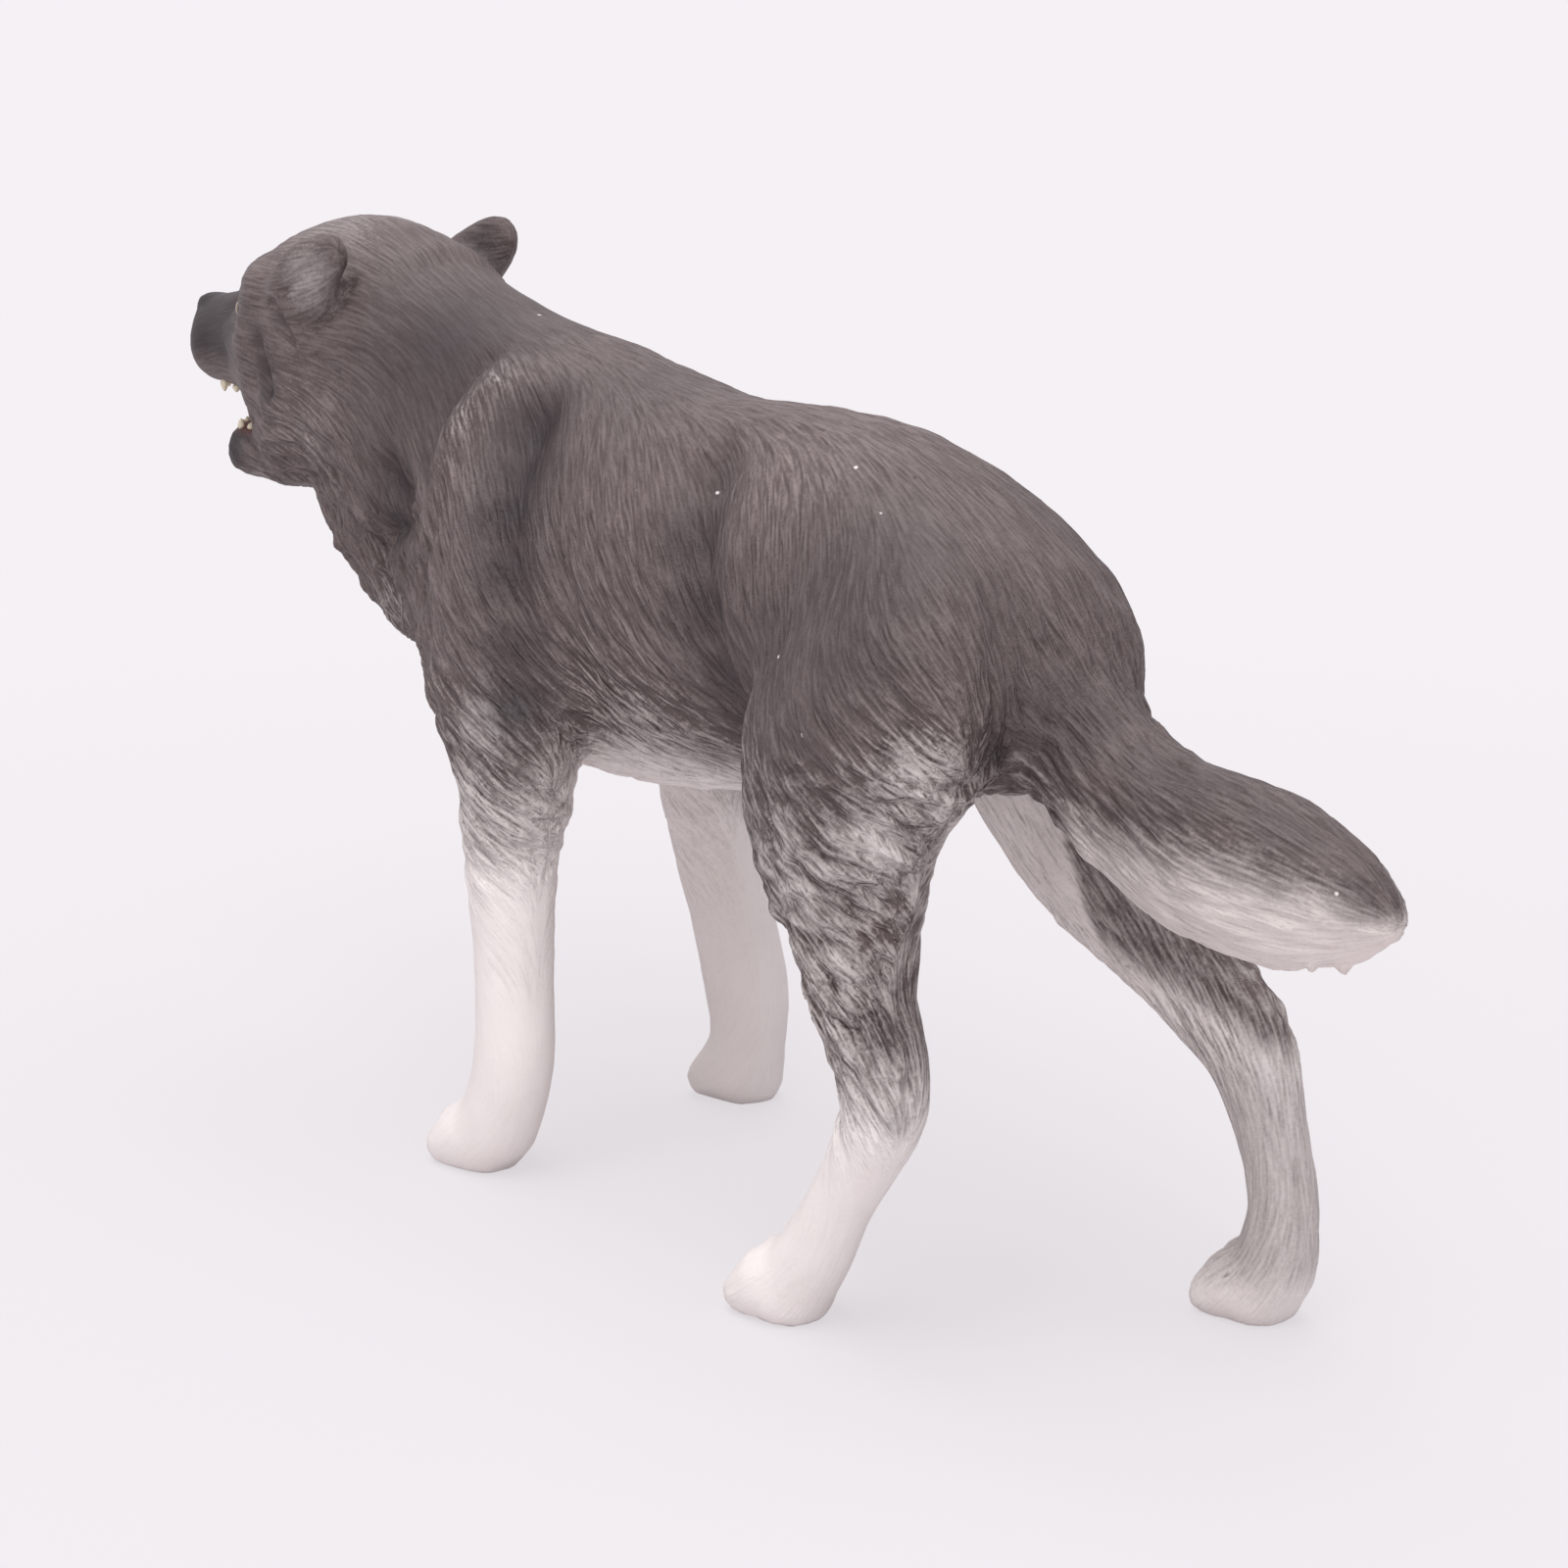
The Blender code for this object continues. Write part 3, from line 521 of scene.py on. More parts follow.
def inner_sides(points, normals):
    """1 where the skin faces the figurine's middle, and the same but 0 where it also faces back or up."""
    inside = ramp(-np.sign(points[:, 0]) * normals[:, 0], 0.0, 0.7)
    return inside, inside * ramp(0.7 * normals[:, 1] + 0.7 * normals[:, 2], 0.6, 0.2)


def hind_share(points):
    """1 on the hindquarters, whose paint follows the legs."""
    y, z = points.T[1:] / MM
    return ramp(y, 9, 13) * ramp(z, 40, 36)


def tail_share(points):
    """1 on the tail, 0 elsewhere."""
    y, z = points.T[1:] / MM
    return ramp(y, 29, 33) * ramp(z, 20, 23)


def fore_share(points):
    """1 on the forelegs and shoulders, 0 elsewhere."""
    x, y, z = points.T / MM
    return ramp(np.abs(y + 10), 8.5, 4.5) * ramp(np.abs(x), 5, 8) * ramp(z, 36, 30)


def tail_level(points):
    """How high a point lies round the tail: 1 on top, -1 below."""
    y, z = points.T[1:] / MM
    middle = np.interp(y, TAIL_ALONG, TAIL_MIDDLE)
    return (z - middle) / np.interp(y, TAIL_ALONG, TAIL_HEIGHT)


def fur_share(points):
    """How deep the hair strokes are: 1 on the flank, little where the skin is moulded nearly smooth."""
    x, y, z = points.T / MM
    back = 0.5 + 0.5 * ramp(z, 42, 37)
    nape = 1 - 0.7 * ramp(y, -15, -19) * ramp(z, 39, 44)
    forelegs = 1 - 0.85 * fore_share(points) * ramp(z, 20.5, 15)
    paws = 1 - (0.8 - 0.4 * (x < 0)) * ramp(z, 14.5, 9)
    tail = 1 - 0.35 * ramp(y, 30, 36)
    haunches = 1 - 0.5 * near(np.abs(points), (10.0, 20.0, 36.0), 6.5) * (y > 0)
    muzzle = 0.1 + 0.9 * ramp(y, -48, -42)
    return back * nape * forelegs * paws * tail * haunches * muzzle


def rear_share(points, normals):
    """Less relief on the inner sides and rear edges of the hind legs, which are moulded plain."""
    x, y, z = points.T / MM
    share = 0.5 + 0.35 * ramp(normals[:, 1], -0.1, 0.3)
    return 1 - share * ramp(y, 10, 14) * ramp(z, 31, 27) * ramp(-np.sign(x) * normals[:, 0], -0.4, 0.2)


def laid(points, table):
    """The strongest of a table's paint blobs at each point."""
    points = left_side(points)
    total = np.zeros(len(points))
    for place, reach, share in table:
        total = np.maximum(total, share * near(points, place, reach))
    return total


def thigh_share(points):
    """1 on the thighs and shanks, where the fur is moulded in short waves."""
    y, z = points.T[1:] / MM
    return ramp(z, 34, 30) * ramp(z, 13, 17) * ramp(y, 15, 20) * (1 - ramp(y, 29, 33) * ramp(z, 20, 23))


def lock_share(points):
    """1 where the fur gathers into locks: cheeks, throat, thighs and the brush."""
    y, z = points.T[1:] / MM
    ruff_top = 40 - 0.35 * (y + 18)
    ruff = ramp(z - ruff_top, 2, -3) * ramp(z, 23, 27) * ramp(y, -12, -17) * ramp(y, -42, -36)
    brush = ramp(y, 31, 37) * ramp(z, 20, 23) * 0.4
    return np.clip(ruff + thigh_share(points) + brush, 0, 1)


def deselect():
    """Nothing is selected, so that an operator acts only on what is chosen next."""
    bpy.ops.object.select_all(action="DESELECT")


def only(obj):
    """obj alone selected and active."""
    deselect()
    obj.select_set(True)
    bpy.context.view_layer.objects.active = obj


def place_on_frame(obj, material):
    """The piece gets its finish and rides with the figurine."""
    obj.data.materials.clear()
    obj.data.materials.append(material)
    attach(obj, BODY)


def apply_modifier(obj, kind, **settings):
    """Adds a modifier with these settings and applies it."""
    modifier = obj.modifiers.new(kind.title(), kind)
    for name, value in settings.items():
        setattr(modifier, name, value)
    only(obj)
    bpy.ops.object.modifier_apply(modifier=modifier.name)


def columns(mesh):
    """Places and normals of a mesh's points."""
    places = np.empty(len(mesh.vertices) * 3, np.float32)
    mesh.vertices.foreach_get("co", places)
    normals = np.empty(len(mesh.vertices) * 3, np.float32)
    mesh.vertex_normals.foreach_get("vector", normals)
    return places.reshape(-1, 3).astype(float), normals.reshape(-1, 3).astype(float)


def add_value(mesh, name, values):
    """A number or vector kept at each point of the mesh, for the material."""
    kind, field = ("FLOAT", "value") if values.ndim == 1 else ("FLOAT_VECTOR", "vector")
    attribute = mesh.attributes.new(name, kind, "POINT")
    attribute.data.foreach_set(field, values.astype(np.float32).ravel())


def hair_relief(points, lie, size):
    """Height of the hair strokes and of the locks, each from -1 to 1."""
    sway = lie + 0.5 * np.cross(lie, np.column_stack([grain(points, 2.0 * MM, seed) for seed in (11, 12, 13)]))
    wave = lock_share(points)[:, None]
    lie = lie * (1 - wave) + sway * wave
    hair = drawn_out(points, lie, size.hair_width * 0.5, size.hair_length, 1)
    lock = drawn_out(points, lie, size.lock_width * 0.5, size.lock_length, 2)
    curl = drawn_out(points, sway, size.curl_width * 0.5, size.curl_length, 3)
    thigh = thigh_share(points)
    return hair, lock * (1 - thigh) + curl * thigh


def near_path(points, path):
    """Distance of each point from a path of straight runs."""
    path = np.array(path) * MM
    nearest = np.full(len(points), np.inf)
    for start, end in zip(path, path[1:]):
        run = end - start
        share = np.clip((points - start) @ run / (run @ run), 0, 1)
        nearest = np.minimum(nearest, np.linalg.norm(points - (start + share[:, None] * run), axis=1))
    return nearest


def carved(points):
    """Height of the folds and ridges that are sharper than the solid's."""
    height = np.zeros(len(points))
    for places, folds in ((points, FOLDS), (head_places(points) * MM, HEAD_FOLDS)):
        both = left_side(places)
        for depth, breadth, path in folds.values():
            height -= depth * MM * np.exp(-(near_path(both, path) / (breadth * MM)) ** 2)
    x, y, z = points.T / MM
    height *= 1 - (x < 0) * ramp(z, 41.5, 44) * ramp(y, -20, -18)
    for burr in BURRS:
        height += BURR_HEIGHT * MM * near(points, burr, BURR_BREADTH)
    for middle, front in TOES:
        for across in (middle - TOE_GAP, middle, middle + TOE_GAP):
            path = [(across, front + back, level) for back, level in ((1.8, 4.4), (-0.2, 2.8), (-0.6, 0.5))]
            height -= TOE_DEPTH * MM * np.exp(-(near_path(points, path) / (TOE_BREADTH * MM)) ** 2)
    return height


def build_skin(size):
    """The moulded body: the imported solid's own form, smoothed and worked over with hair strokes."""
    deselect()
    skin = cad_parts[NODE].copy()
    skin.data = skin.data.copy()
    skin.name = skin.data.name = "wolf_body"
    skin.parent = None
    for key in list(skin.keys()):
        del skin[key]
    bpy.context.collection.objects.link(skin)
    only(skin)
    bpy.ops.object.mode_set(mode="EDIT")
    bpy.ops.mesh.select_all(action="SELECT")
    bpy.ops.mesh.remove_doubles(threshold=1e-6)
    bpy.ops.object.mode_set(mode="OBJECT")
    apply_modifier(skin, "REMESH", mode="VOXEL", voxel_size=size.voxel)
    apply_modifier(skin, "SMOOTH", iterations=size.smoothing, factor=0.5)
    points, normals = columns(skin.data)
    lie = combed(points, normals)
    hair, lock = hair_relief(points, lie, size)
    fur, locks = fur_share(points), lock_share(points)
    height = (size.hair_depth * fur * hair + size.lock_depth * fur * locks * lock) * rear_share(points, normals)
    height += carved(points)
    points += normals * height[:, None]
    low, high = (np.array(corner) for corner in CAD_BOX)
    skin.data.vertices.foreach_set("co", np.clip(points, low, high).astype(np.float32).ravel())
    skin.data.update()
    skin.data.calc_loop_triangles()
    apply_modifier(skin, "DECIMATE", ratio=size.triangles / len(skin.data.loop_triangles),
                   use_collapse_triangulate=True)
    points, normals = columns(skin.data)
    lie = combed(points, normals)
    hair, lock = hair_relief(points, lie, size)
    add_value(skin.data, "lie", lie)
    paint_skin(skin.data, hair, lock)
    skin.data.shade_smooth()
    return skin


def node(tree, kind, links=(), **settings):
    """A shader node with its settings, values by socket name, and links from other nodes' sockets."""
    made = tree.nodes.new("ShaderNode" + kind)
    for name, value in settings.items():
        if name == "values":
            for socket, number in value.items():
                made.inputs[socket].default_value = number
        else:
            setattr(made, name, value)
    for socket, source in dict(links).items():
        tree.links.new(source, made.inputs[socket])
    return made


def new_material(name):
    """A material with its tree and shader."""
    material = bpy.data.materials.new(name)
    material.use_nodes = True
    return material, material.node_tree, material.node_tree.nodes["Principled BSDF"]


def mixed(tree, share, low, high, blend="MIX"):
    """A colour between two: each is a colour value or a socket."""
    mix = node(tree, "Mix", data_type="RGBA", blend_type=blend)
    for socket, value in ((0, share), (6, low), (7, high)):
        if isinstance(value, bpy.types.NodeSocket):
            tree.links.new(value, mix.inputs[socket])
        else:
            mix.inputs[socket].default_value = value
    return mix.outputs[2]


def painted_vinyl(paints):
    """Soft PVC moulded with fur strokes: white vinyl, grey sprayed over it, dark paint washed into the grooves that
    also stands as painted shade there, and pale paint on the raised strokes that is also a painted highlight.
    The eye sees a matt coat whose edges break up along the hairs, over a slightly waxy white."""
    material, tree, shader = new_material("painted_soft_vinyl")

    def value(name):
        """A number kept at each point of the skin."""
        return node(tree, "Attribute", attribute_name=name).outputs["Fac"]

    def sums(kind, first, second, third=None):
        """A sum of two or three sockets or numbers, of this kind."""
        links, values = {}, {}
        for socket, term in enumerate((first, second, third)):
            if isinstance(term, bpy.types.NodeSocket):
                links[socket] = term
            elif term is not None:
                values[socket] = term
        return node(tree, "Math", links, operation=kind, values=values).outputs[0]

    place = node(tree, "TexCoord").outputs["Object"]
    lie = node(tree, "Attribute", attribute_name="lie").outputs["Vector"]
    stroke = None
    for step in STROKE_STEPS:
        at = node(tree, "VectorMath", {0: lie, 2: place}, operation="MULTIPLY_ADD", values={1: (step * MM,) * 3})
        tap = node(tree, "TexNoise", {"Vector": at.outputs[0]},
                   values={"Scale": 1 / (STROKE_WIDTH * MM), "Detail": 0.0})
        stroke = tap.outputs["Fac"] if stroke is None else sums("ADD", stroke, tap.outputs["Fac"])
    stroke = sums("MULTIPLY_ADD", stroke, STROKE_GAIN / len(STROKE_STEPS), 0.5 - STROKE_GAIN / 2)
    stroke = sums("MULTIPLY_ADD", value("relief"), 0.2, stroke)
    groove = node(tree, "MapRange", {"Value": stroke}, values={"From Min": 0.7, "From Max": 0.0}).outputs[0]
    ridge = node(tree, "MapRange", {"Value": stroke}, values={"From Min": 0.4, "From Max": 1.1}).outputs[0]
    speck = node(tree, "TexNoise", {"Vector": place},
                 values={"Scale": 1 / (SPECK_WIDTH * MM), "Detail": 1.0}).outputs["Fac"]
    cloud = node(tree, "TexNoise", {"Vector": place},
                 values={"Scale": 1 / (CLOUD_WIDTH * MM), "Detail": 2.0}).outputs["Fac"]

    fur = value("fur")
    broken = sums("MULTIPLY_ADD", sums("MULTIPLY", sums("SUBTRACT", stroke, 0.5), fur), -0.4, value("coat"))
    broken = sums("MULTIPLY_ADD", sums("SUBTRACT", speck, 0.5), 0.2, broken)
    cover = node(tree, "MapRange", {"Value": broken}, values={"From Min": 0.02, "From Max": 0.98}).outputs[0]
    white = mixed(tree, cloud, paints.white, paints.white_shade)
    white = mixed(tree, value("warm"), white, linear("#D6C8C2"))
    grey = mixed(tree, cloud, paints.grey, paints.grey_shade)
    colour = mixed(tree, cover, white, grey)
    # The dark grey: spray along the back, and painted shade in the hollows and behind the ear's rim
    colour = mixed(tree, sums("MULTIPLY", value("dark"), 0.9), colour, paints.dark)
    # Pale paint over the raised strokes, which is also a painted highlight on them
    pale = sums("MULTIPLY", ridge, value("pale"))
    colour = mixed(tree, pale, colour, linear("#B5AAA6"))
    # Dark paint in the grooves between the strokes, which is also painted shade there
    wash_and_shade = sums("MULTIPLY", groove, value("wash_and_shade"))
    colour = mixed(tree, wash_and_shade, colour, linear("#372C2A"))
    cells = node(tree, "TexVoronoi", {"Vector": place}, values={"Scale": 1 / (DUST_APART * MM)})
    dust = node(tree, "MapRange", {"Value": cells.outputs["Distance"]},
                values={"From Min": 0.032, "From Max": 0.02, "To Max": 0.8}).outputs[0]
    colour = mixed(tree, dust, colour, linear("#E6E1DE"))
    colour = mixed(tree, value("nose"), colour, paints.nose)
    colour = mixed(tree, value("mouth"), colour, linear("#5F3B39"))
    tree.links.new(colour, shader.inputs["Base Color"])
    bump = node(tree, "Bump", {"Height": sums("MULTIPLY", stroke, fur)},
                values={"Strength": 1.0, "Distance": STROKE_HEIGHT * MM})
    tree.links.new(bump.outputs["Normal"], shader.inputs["Normal"])
    shader.inputs["Roughness"].default_value = 0.55
    shader.inputs["IOR"].default_value = 1.5
    shader.inputs["Specular IOR Level"].default_value = 0.22
    return material


def grey_coat(points, normals, lock):
    """How fully the sprayed grey covers the white vinyl: over 1 where no hair breaks through it."""
    x, y, z = points.T / MM
    inside, inner = inner_sides(points, normals)
    # On the trunk it ends in a wavering line above the belly, and on the forelegs it fades in two steps
    level = z + 0.9 * grain(points, 2.6 * MM, 21)
    fore = fore_share(points)
    coat = fore * (0.45 * ramp(level, 17.8, 21.5) + 0.55 * ramp(level, 21.6, 25.8)) \
        + (1 - fore) * ramp(level, 23.7, 28.8)
    # Little of it reaches the inner sides of the forelegs
    ahead = ramp(y, -2, -6)
    coat = coat * (1 - 0.6 * inside * ahead * ramp(z, 30, 25))
    coat = np.maximum(coat, 0.15 * inside * ahead * ramp(z, 8, 22))
    # The left hind leg is grey down to the hock. The right one is thinly grey all over, with a fuller band on its shank
    leg = ramp(z, 11.3, 18.2) * (1 - inner)
    band = ramp(z - np.interp(y, *zip(*BAND_EDGE)), -0.8, 1.4) * ramp(z, 12.5, 15.5)
    right_leg = np.maximum(0.42 * ramp(z, 1, 4) * (1 - ramp(z, 12, 18)), 0.9 * band)
    leg = np.where(x < 0, np.maximum(right_leg, leg * (1 - inside)), leg)
    hind = hind_share(points)
    coat = coat * (1 - hind) + leg * hind
    # The tail is grey on top and white below
    tail = tail_share(points)
    coat = coat * (1 - tail) + tail * ramp(tail_level(points) - np.interp(y, *zip(*TAIL_EDGE)), -0.6, 0.5)
    # Thicker on the upper body, thinner in patches, and broken up by the thighs' tufts
    coat = (coat + 0.25 * coat * ramp(z, 27, 36)) * (1 - laid(points, BARE_PATCHES))
    coat -= 0.24 * lock * thigh_share(points) * (1 - inside)
    return coat * (1 - laid(head_places(points) * MM, HEAD_BARE))


def dark_spray_and_painted_shade(points):
    """How strong the darker spray and the painted shade in the hollows are, less on the right side, which the
    photograph shows little of.
    """
    in_head = head_places(points)
    fy, fz = in_head.T[1:]
    muzzle = 0.9 * ramp(fy, -13, -18) * ramp(fz, -2, 0)
    lower_lip = ramp(fy, -17.5, -20) * ramp(fz, -3, -5) * ramp(fz, -8.6, -7)
    dark = laid(points, DARK_SPRAY_AND_PAINTED_SHADE) * np.where(points[:, 0] < 0, 0.75, 1.0)
    for share in (muzzle, laid(in_head * MM, HEAD_SPRAY_AND_PAINTED_SHADE), 0.8 * near(points, *RIGHT_EAR_ROOT_SHADE), lower_lip):
        dark = np.maximum(dark, share)
    return dark


def paint_skin(mesh, hair, lock):
    """Where each paint lies, kept at each point for the material."""
    points, normals = columns(mesh)
    y, z = points.T[1:] / MM
    in_head = head_places(points)
    fy, fz = in_head.T[1:]
    above = np.sign(fz - MOUTH_LEVEL)
    fur = fur_share(points)
    coat = grey_coat(points, normals, lock)
    dark = dark_spray_and_painted_shade(points)
    inside, inner = inner_sides(points, normals)
    warm = 0.2 * inner * hind_share(points) + 0.4 * tail_share(points) \
        + 0.25 * inside * ramp(y, 0, -6) * ramp(z, 22, 14)
    values = {
        "coat": coat,
        # Darker spray, and painted shade in the hollows
        "dark": dark,
        # Dark paint in the hair grooves, which is also painted shade there
        "wash_and_shade": np.maximum(laid(points, GROOVE_WASH_AND_PAINTED_SHADE) * ramp(z, 8, 14), 0.65 * np.clip(coat, 0, 1)),
        # Pale paint, and a painted highlight, on the raised strokes
        "pale": np.maximum(laid(points, PALE_RUB_AND_PAINTED_HIGHLIGHT), 0.1) * (1 - 0.8 * dark),
        "warm": np.clip(warm, 0, 1),
        "nose": ramp(np.linalg.norm((in_head - NOSE_AT) / NOSE_SIZE, axis=1), 1.35, 1.1),
        "mouth": ramp(fy, -15, -17) * ramp(np.abs(fz - MOUTH_LEVEL), 1.9, 1.2) * ramp(-normals[:, 2] * above, 0.2, 0.6),
        "relief": 0.6 * hair * fur + 0.6 * lock * lock_share(points),
        "fur": fur,
    }
    for name, numbers in values.items():
        add_value(mesh, name, numbers)


def background_rays(tree):
    """1 for the rays that show the background itself: the camera's, and those met in gloss or through glass."""
    path = node(tree, "LightPath").outputs
    seen = node(tree, "Math", {0: path["Is Camera Ray"], 1: path["Is Glossy Ray"]}, operation="MAXIMUM").outputs[0]
    return node(tree, "Math", {0: seen, 1: path["Is Transmission Ray"]}, operation="MAXIMUM").outputs[0]


def build_stage(stage):
    """A pale floor, soft light from above and both sides, and a camera at the photograph's angle."""
    scene = bpy.context.scene
    deselect()
    bpy.ops.mesh.primitive_plane_add(size=stage.floor_size, location=(0, 0, 0))
    floor = bpy.context.active_object
    floor.name = floor.data.name = "studio_floor"
    # Matt paper: no gloss. It is seen as white from 160 mm off, and nearer it keeps a share of its shading and shadow
    material, tree, shader = new_material("matt_white_paper")
    shader.inputs["Base Color"].default_value = stage.paper
    shader.inputs["Roughness"].default_value = 0.9
    shader.inputs["Specular IOR Level"].default_value = 0.1
    glow = node(tree, "Emission", values={"Color": linear(BACKGROUND), "Strength": 1.0})
    place = node(tree, "TexCoord")
    away = node(tree, "VectorMath", {0: place.outputs["Object"]}, operation="LENGTH")
    share = node(tree, "MapRange", {"Value": away.outputs["Value"]},
                 values={"From Min": 0.03, "From Max": 0.16, "To Min": 0.68, "To Max": 1.0})
    seen = node(tree, "Math", {0: background_rays(tree), 1: share.outputs[0]}, operation="MULTIPLY")
    output = tree.nodes["Material Output"]
    blend = node(tree, "MixShader", {0: seen.outputs[0], 1: shader.outputs[0], 2: glow.outputs[0]})
    tree.links.new(blend.outputs[0], output.inputs["Surface"])
    floor.data.materials.append(material)

    world = bpy.data.worlds.new("studio")
    world.use_nodes = True
    tree = world.node_tree
    surround = tree.nodes["Background"]
    surround.inputs["Color"].default_value = linear("#E8E6EA")
    surround.inputs["Strength"].default_value = 0.62
    backdrop = node(tree, "Background", values={"Color": linear(BACKGROUND), "Strength": 1.0})
    blend = node(tree, "MixShader", {0: background_rays(tree), 1: surround.outputs[0], 2: backdrop.outputs[0]})
    tree.links.new(blend.outputs[0], tree.nodes["World Output"].inputs["Surface"])
    scene.world = world

    for name, place, size, power in LAMPS:
        deselect()
        bpy.ops.object.light_add(type="AREA", location=place)
        lamp = bpy.context.active_object
        lamp.name = lamp.data.name = name
        lamp.data.shape = "DISK"
        lamp.data.size = size
        lamp.data.energy = power
        lamp.rotation_euler = (Vector((0, 0, LAMPS_AIM)) - Vector(place)).to_track_quat("-Z", "Y").to_euler()

    low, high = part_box(NODE)
    middle = (low + high) / 2
    deselect()
    bpy.ops.object.camera_add(location=Vector((middle.x, middle.y, low.z)) + Vector(CAMERA_AT) * MM,
                              rotation=(math.pi / 2 - stage.pitch, 0, math.pi - stage.heading))
    camera = bpy.context.active_object
    camera.name = camera.data.name = "photo_camera"
    camera.data.sensor_width = SENSOR_WIDTH
    camera.data.lens = stage.lens
    camera.data.clip_start = 0.01
    scene.camera = camera
    scene.view_settings.view_transform = "Standard"


def head_frame():
    """From the head's own frame to the figurine's."""
    return Matrix.Translation(Vector(HEAD_JOINT) * MM) @ Matrix.Rotation(HEAD_TURN, 4, "Z")


def settle(piece, matrix):
    """Puts the piece where the matrix says, with its own origin left at the figurine's."""
    piece.matrix_world = matrix
    only(piece)
    bpy.ops.object.transform_apply(location=True, rotation=True, scale=True)
    bpy.ops.object.shade_smooth()


def united(pieces, name):
    """One object of several."""
    deselect()
    for piece in pieces:
        piece.select_set(True)
    bpy.context.view_layer.objects.active = pieces[0]
    bpy.ops.object.join()
    made = bpy.context.active_object
    made.name = made.data.name = name
    return made


def skin_hit(start, towards):
    """Where a line between two places of the head, in millimetres, first meets the skin, in the head's frame."""
    turn = head_frame()
    begin = turn @ (Vector(start) * MM)
    aim = (turn @ (Vector(towards) * MM) - begin).normalized()
    skin = bpy.data.objects["wolf_body"]
    met, place, _, _ = skin.ray_cast(begin, aim)
    if not met:
        raise RuntimeError(f"the line from {start} misses the skin")
    return turn.inverted() @ place


def build_eyes(face):
    """Two eyeballs set in their sockets, each with its angle from the pupil kept for the paint."""
    eyes = []
    for hand in (1, -1):
        side = Vector((hand, 1, 1))
        gaze = (Vector(EYE_GAZE) * side).normalized()
        hit = skin_hit(*(Vector(place) * side for place in EYE_LINE))
        deselect()
        bpy.ops.mesh.primitive_uv_sphere_add(segments=40, ring_count=28, radius=face.eye)
        eye = bpy.context.active_object
        tilt = np.arccos(np.clip([vert.co.z / face.eye for vert in eye.data.vertices], -1, 1))
        add_value(eye.data, "tilt", tilt)
        settle(eye, head_frame() @ Matrix.Translation(hit - gaze * (face.eye - face.eye_proud))
               @ gaze.to_track_quat("Z", "Y").to_matrix().to_4x4())
        eyes.append(eye)
    return united(eyes, "wolf_eyes")


def horn(length, radius, bend):
    """A slightly bent cone with a round tip, standing on its root."""
    deselect()
    bpy.ops.mesh.primitive_uv_sphere_add(segments=14, ring_count=12, radius=1)
    made = bpy.context.active_object
    apply_modifier(made, "SIMPLE_DEFORM", deform_method="TAPER", deform_axis="Z", factor=-0.8)
    apply_modifier(made, "SIMPLE_DEFORM", deform_method="BEND", deform_axis="X", angle=bend)
    settle(made, Matrix.Diagonal((radius, radius, length / 2, 1)) @ Matrix.Translation((0, 0, 0.6)))
    return made


def build_teeth(face):
    """Canines and small cheek teeth, moulded on the jaws' rims."""
    teeth = []
    for hand in (1, -1):
        for (x, y), up, length, radius in TEETH:
            root = skin_hit((hand * x, y, TEETH_FROM), (hand * x, y, TEETH_FROM + up))
            made = horn(length * face.tooth, radius * face.tooth, 0.35 if length > 1 else 0.0)
            flip = Matrix.Rotation(math.pi, 4, "X") if up > 0 else Matrix.Identity(4)
            settle(made, head_frame() @ Matrix.Translation(root) @ flip)
            teeth.append(made)
    return united(teeth, "wolf_teeth")


def build_tongue(face):
    """A tongue with a groove along its middle, lying on the lower jaw."""
    floor = skin_hit(*TONGUE_LINE)
    deselect()
    bpy.ops.mesh.primitive_uv_sphere_add(segments=32, ring_count=24, radius=1)
    tongue = bpy.context.active_object
    for vert in tongue.data.vertices:
        if vert.co.z > 0:
            vert.co.z -= 0.45 * vert.co.z * math.exp(-(vert.co.x / 0.22) ** 2)
    apply_modifier(tongue, "SIMPLE_DEFORM", deform_method="TAPER", deform_axis="Y", factor=0.25)
    width, length, height = (side * face.tongue / 2 for side in (0.5, 1.0, 0.24))
    settle(tongue, head_frame() @ Matrix.Translation(floor + Vector((0, 0, 0.1 * MM)))
           @ Matrix.Diagonal((width, length, height, 1)))
    tongue.name = tongue.data.name = "wolf_tongue"
    return tongue


def eye_paint(iris_light):
    """Glossy enamel on the eyes: a black pupil in an amber iris, with a dark rim."""
    material, tree, shader = new_material("glossy_eye_enamel")
    tilt = node(tree, "Attribute", attribute_name="tilt").outputs["Fac"]
    place = node(tree, "TexCoord").outputs["Object"]
    fleck = node(tree, "TexNoise", {"Vector": place}, values={"Scale": 1 / (0.12 * MM), "Detail": 2.0}).outputs["Fac"]
    iris = mixed(tree, fleck, linear("#553A14"), iris_light)
    pupil = node(tree, "MapRange", {"Value": tilt}, values={"From Min": 0.3, "From Max": 0.36}).outputs[0]
    colour = mixed(tree, pupil, linear("#0E0B0A"), iris)
    rim = node(tree, "MapRange", {"Value": tilt}, values={"From Min": 0.6, "From Max": 0.75}).outputs[0]
    colour = mixed(tree, rim, colour, linear("#1C1513"))
    tree.links.new(colour, shader.inputs["Base Color"])
    shader.inputs["Roughness"].default_value = 0.12
    shader.inputs["Coat Weight"].default_value = 0.6
    return material


def tooth_paint(ivory):
    """Ivory enamel on the teeth, a little darker and yellower in its patches."""
    material, tree, shader = new_material("ivory_tooth_enamel")
    place = node(tree, "TexCoord").outputs["Object"]
    patch = node(tree, "TexNoise", {"Vector": place}, values={"Scale": 1 / (0.6 * MM), "Detail": 3.0}).outputs["Fac"]
    tree.links.new(mixed(tree, patch, ivory, linear("#CDBF9F")), shader.inputs["Base Color"])
    shader.inputs["Roughness"].default_value = 0.3
    return material


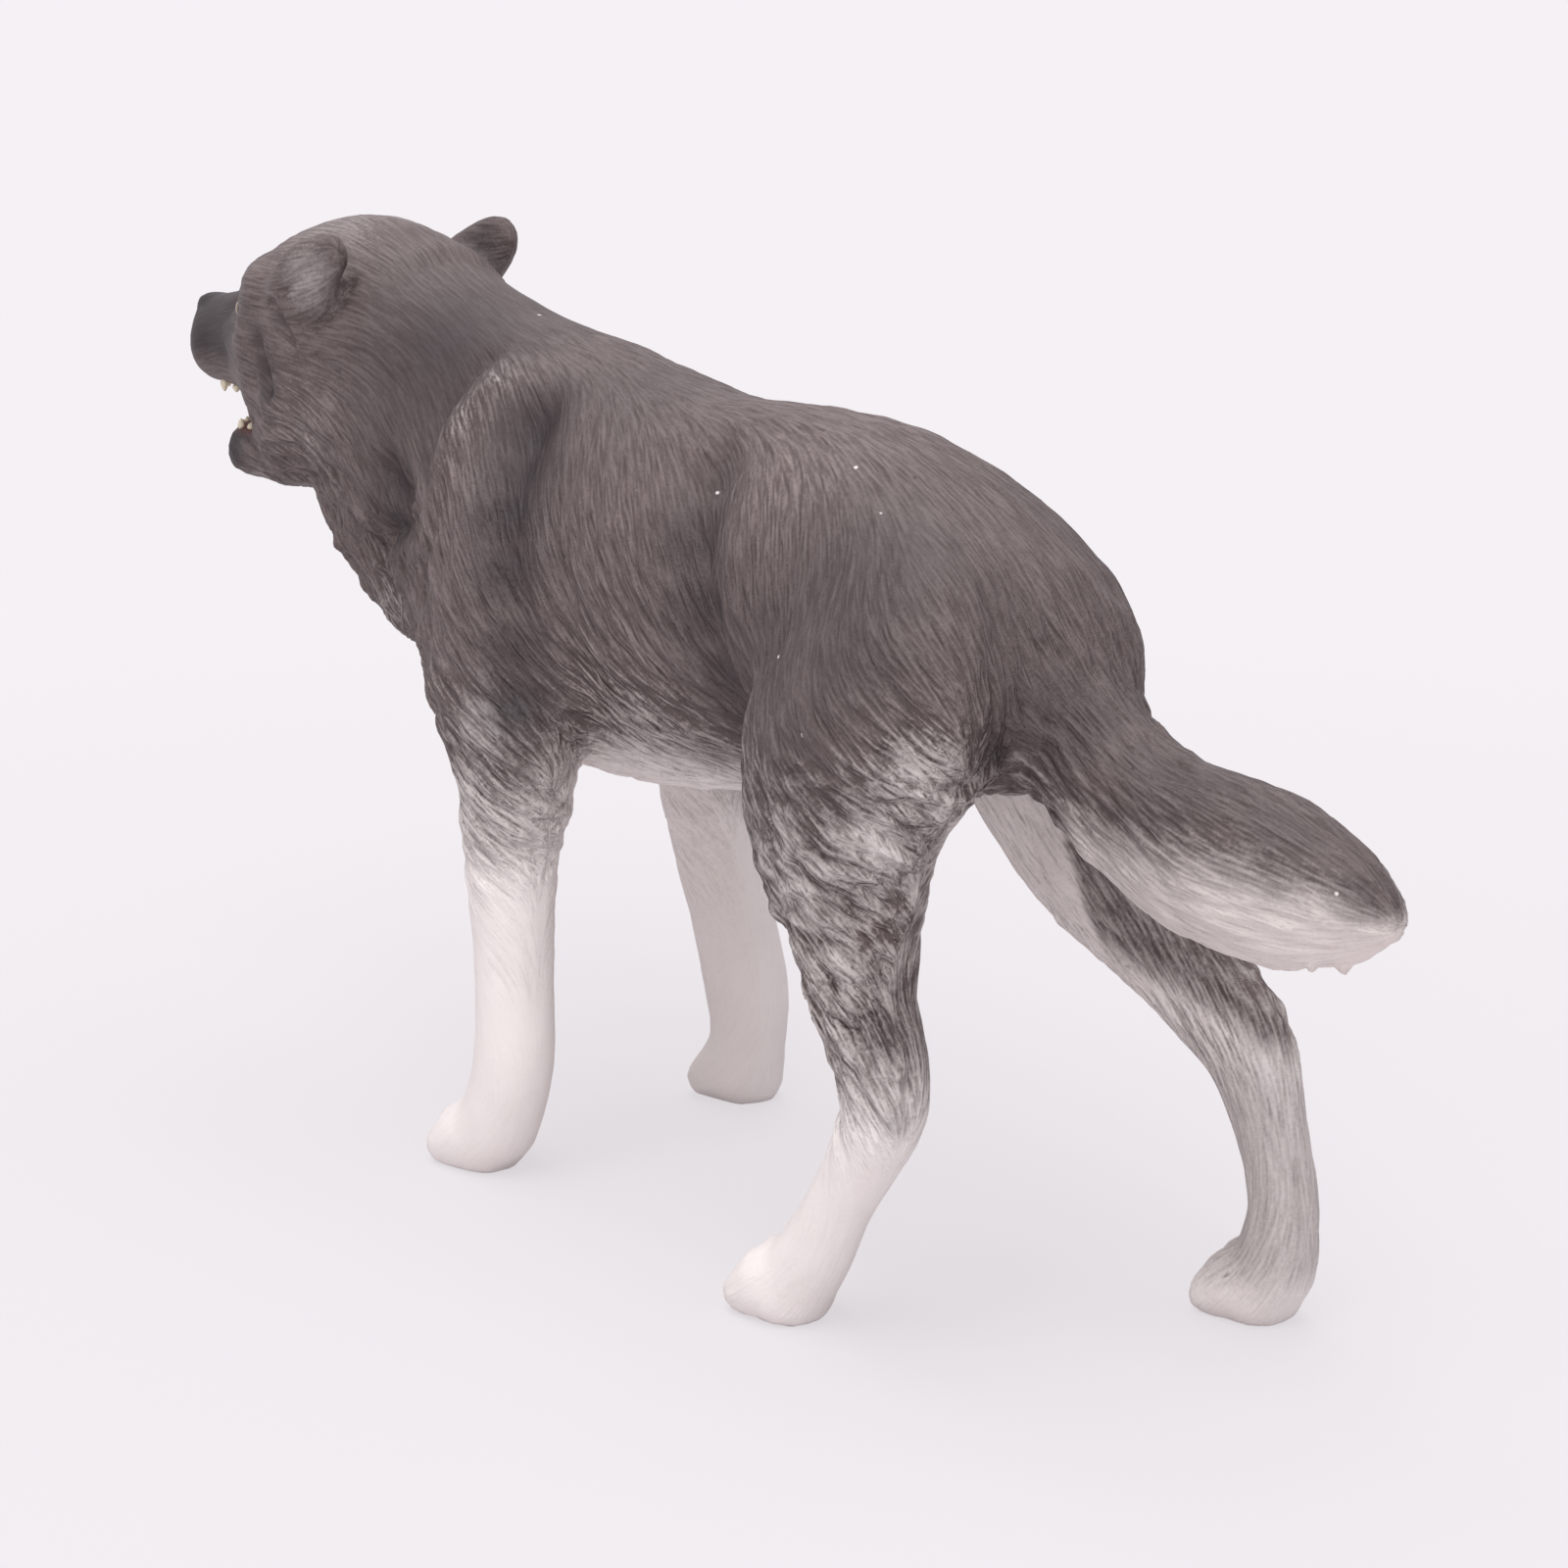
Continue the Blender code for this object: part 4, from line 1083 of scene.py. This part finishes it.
def tongue_paint(pink):
    """Dull pink enamel on the tongue, grained like its moulding."""
    material, tree, shader = new_material("pink_tongue_enamel")
    place = node(tree, "TexCoord").outputs["Object"]
    patch = node(tree, "TexNoise", {"Vector": place}, values={"Scale": 1 / (0.5 * MM), "Detail": 3.0}).outputs["Fac"]
    tree.links.new(mixed(tree, patch, pink, linear("#8A4744")), shader.inputs["Base Color"])
    bump = node(tree, "Bump", {"Height": patch}, values={"Strength": 0.5, "Distance": 0.05 * MM})
    tree.links.new(bump.outputs["Normal"], shader.inputs["Normal"])
    shader.inputs["Roughness"].default_value = 0.4
    return material


class WOLF_OT_skin(bpy.types.Operator):
    """Build the moulded and painted body"""
    bl_idname = "wolf.skin"
    bl_label = "Body"

    def execute(self, context):
        skin = build_skin(context.scene.wolf_skin)
        place_on_frame(skin, painted_vinyl(context.scene.wolf_skin))
        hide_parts(NODE)
        return {"FINISHED"}


class WOLF_OT_eyes(bpy.types.Operator):
    """Set the eyes in the head"""
    bl_idname = "wolf.eyes"
    bl_label = "Eyes"

    def execute(self, context):
        face = context.scene.wolf_face
        place_on_frame(build_eyes(face), eye_paint(face.iris))
        return {"FINISHED"}


class WOLF_OT_teeth(bpy.types.Operator):
    """Set the teeth on the jaws"""
    bl_idname = "wolf.teeth"
    bl_label = "Teeth"

    def execute(self, context):
        face = context.scene.wolf_face
        place_on_frame(build_teeth(face), tooth_paint(face.ivory))
        return {"FINISHED"}


class WOLF_OT_tongue(bpy.types.Operator):
    """Lay the tongue in the mouth"""
    bl_idname = "wolf.tongue"
    bl_label = "Tongue"

    def execute(self, context):
        face = context.scene.wolf_face
        place_on_frame(build_tongue(face), tongue_paint(face.pink))
        return {"FINISHED"}


class WOLF_OT_stage(bpy.types.Operator):
    """Lay the floor and set the lamps and the camera"""
    bl_idname = "wolf.stage"
    bl_label = "Stage"

    def execute(self, context):
        build_stage(context.scene.wolf_stage)
        return {"FINISHED"}


class WOLF_PT_panel(bpy.types.Panel):
    """The figurine's steps in order, and what a user may change"""
    bl_label = "Wolf figurine"
    bl_idname = "WOLF_PT_panel"
    bl_space_type = "VIEW_3D"
    bl_region_type = "UI"
    bl_category = "Wolf"

    def draw(self, context):
        for step in (WOLF_OT_stage, WOLF_OT_skin, WOLF_OT_eyes, WOLF_OT_teeth, WOLF_OT_tongue):
            self.layout.operator(step.bl_idname)
        for group in (context.scene.wolf_skin, context.scene.wolf_face, context.scene.wolf_stage):
            for name in type(group).__annotations__:
                self.layout.prop(group, name)


CLASSES = (WolfSkin, WolfFace, WolfStage, WOLF_OT_stage, WOLF_OT_skin, WOLF_OT_eyes, WOLF_OT_teeth, WOLF_OT_tongue,
           WOLF_PT_panel)


def register():
    """Adds the figurine's classes and settings to Blender."""
    for item in CLASSES:
        bpy.utils.register_class(item)
    bpy.types.Scene.wolf_skin = bpy.props.PointerProperty(type=WolfSkin)
    bpy.types.Scene.wolf_face = bpy.props.PointerProperty(type=WolfFace)
    bpy.types.Scene.wolf_stage = bpy.props.PointerProperty(type=WolfStage)


def unregister():
    """Takes them away again."""
    for name in ("wolf_skin", "wolf_face", "wolf_stage"):
        delattr(bpy.types.Scene, name)
    for item in reversed(CLASSES):
        bpy.utils.unregister_class(item)


def main():
    register()
    bpy.ops.wolf.stage()
    bpy.ops.wolf.skin()
    bpy.ops.wolf.eyes()
    bpy.ops.wolf.teeth()
    bpy.ops.wolf.tongue()


if __name__ == "__main__":
    main()
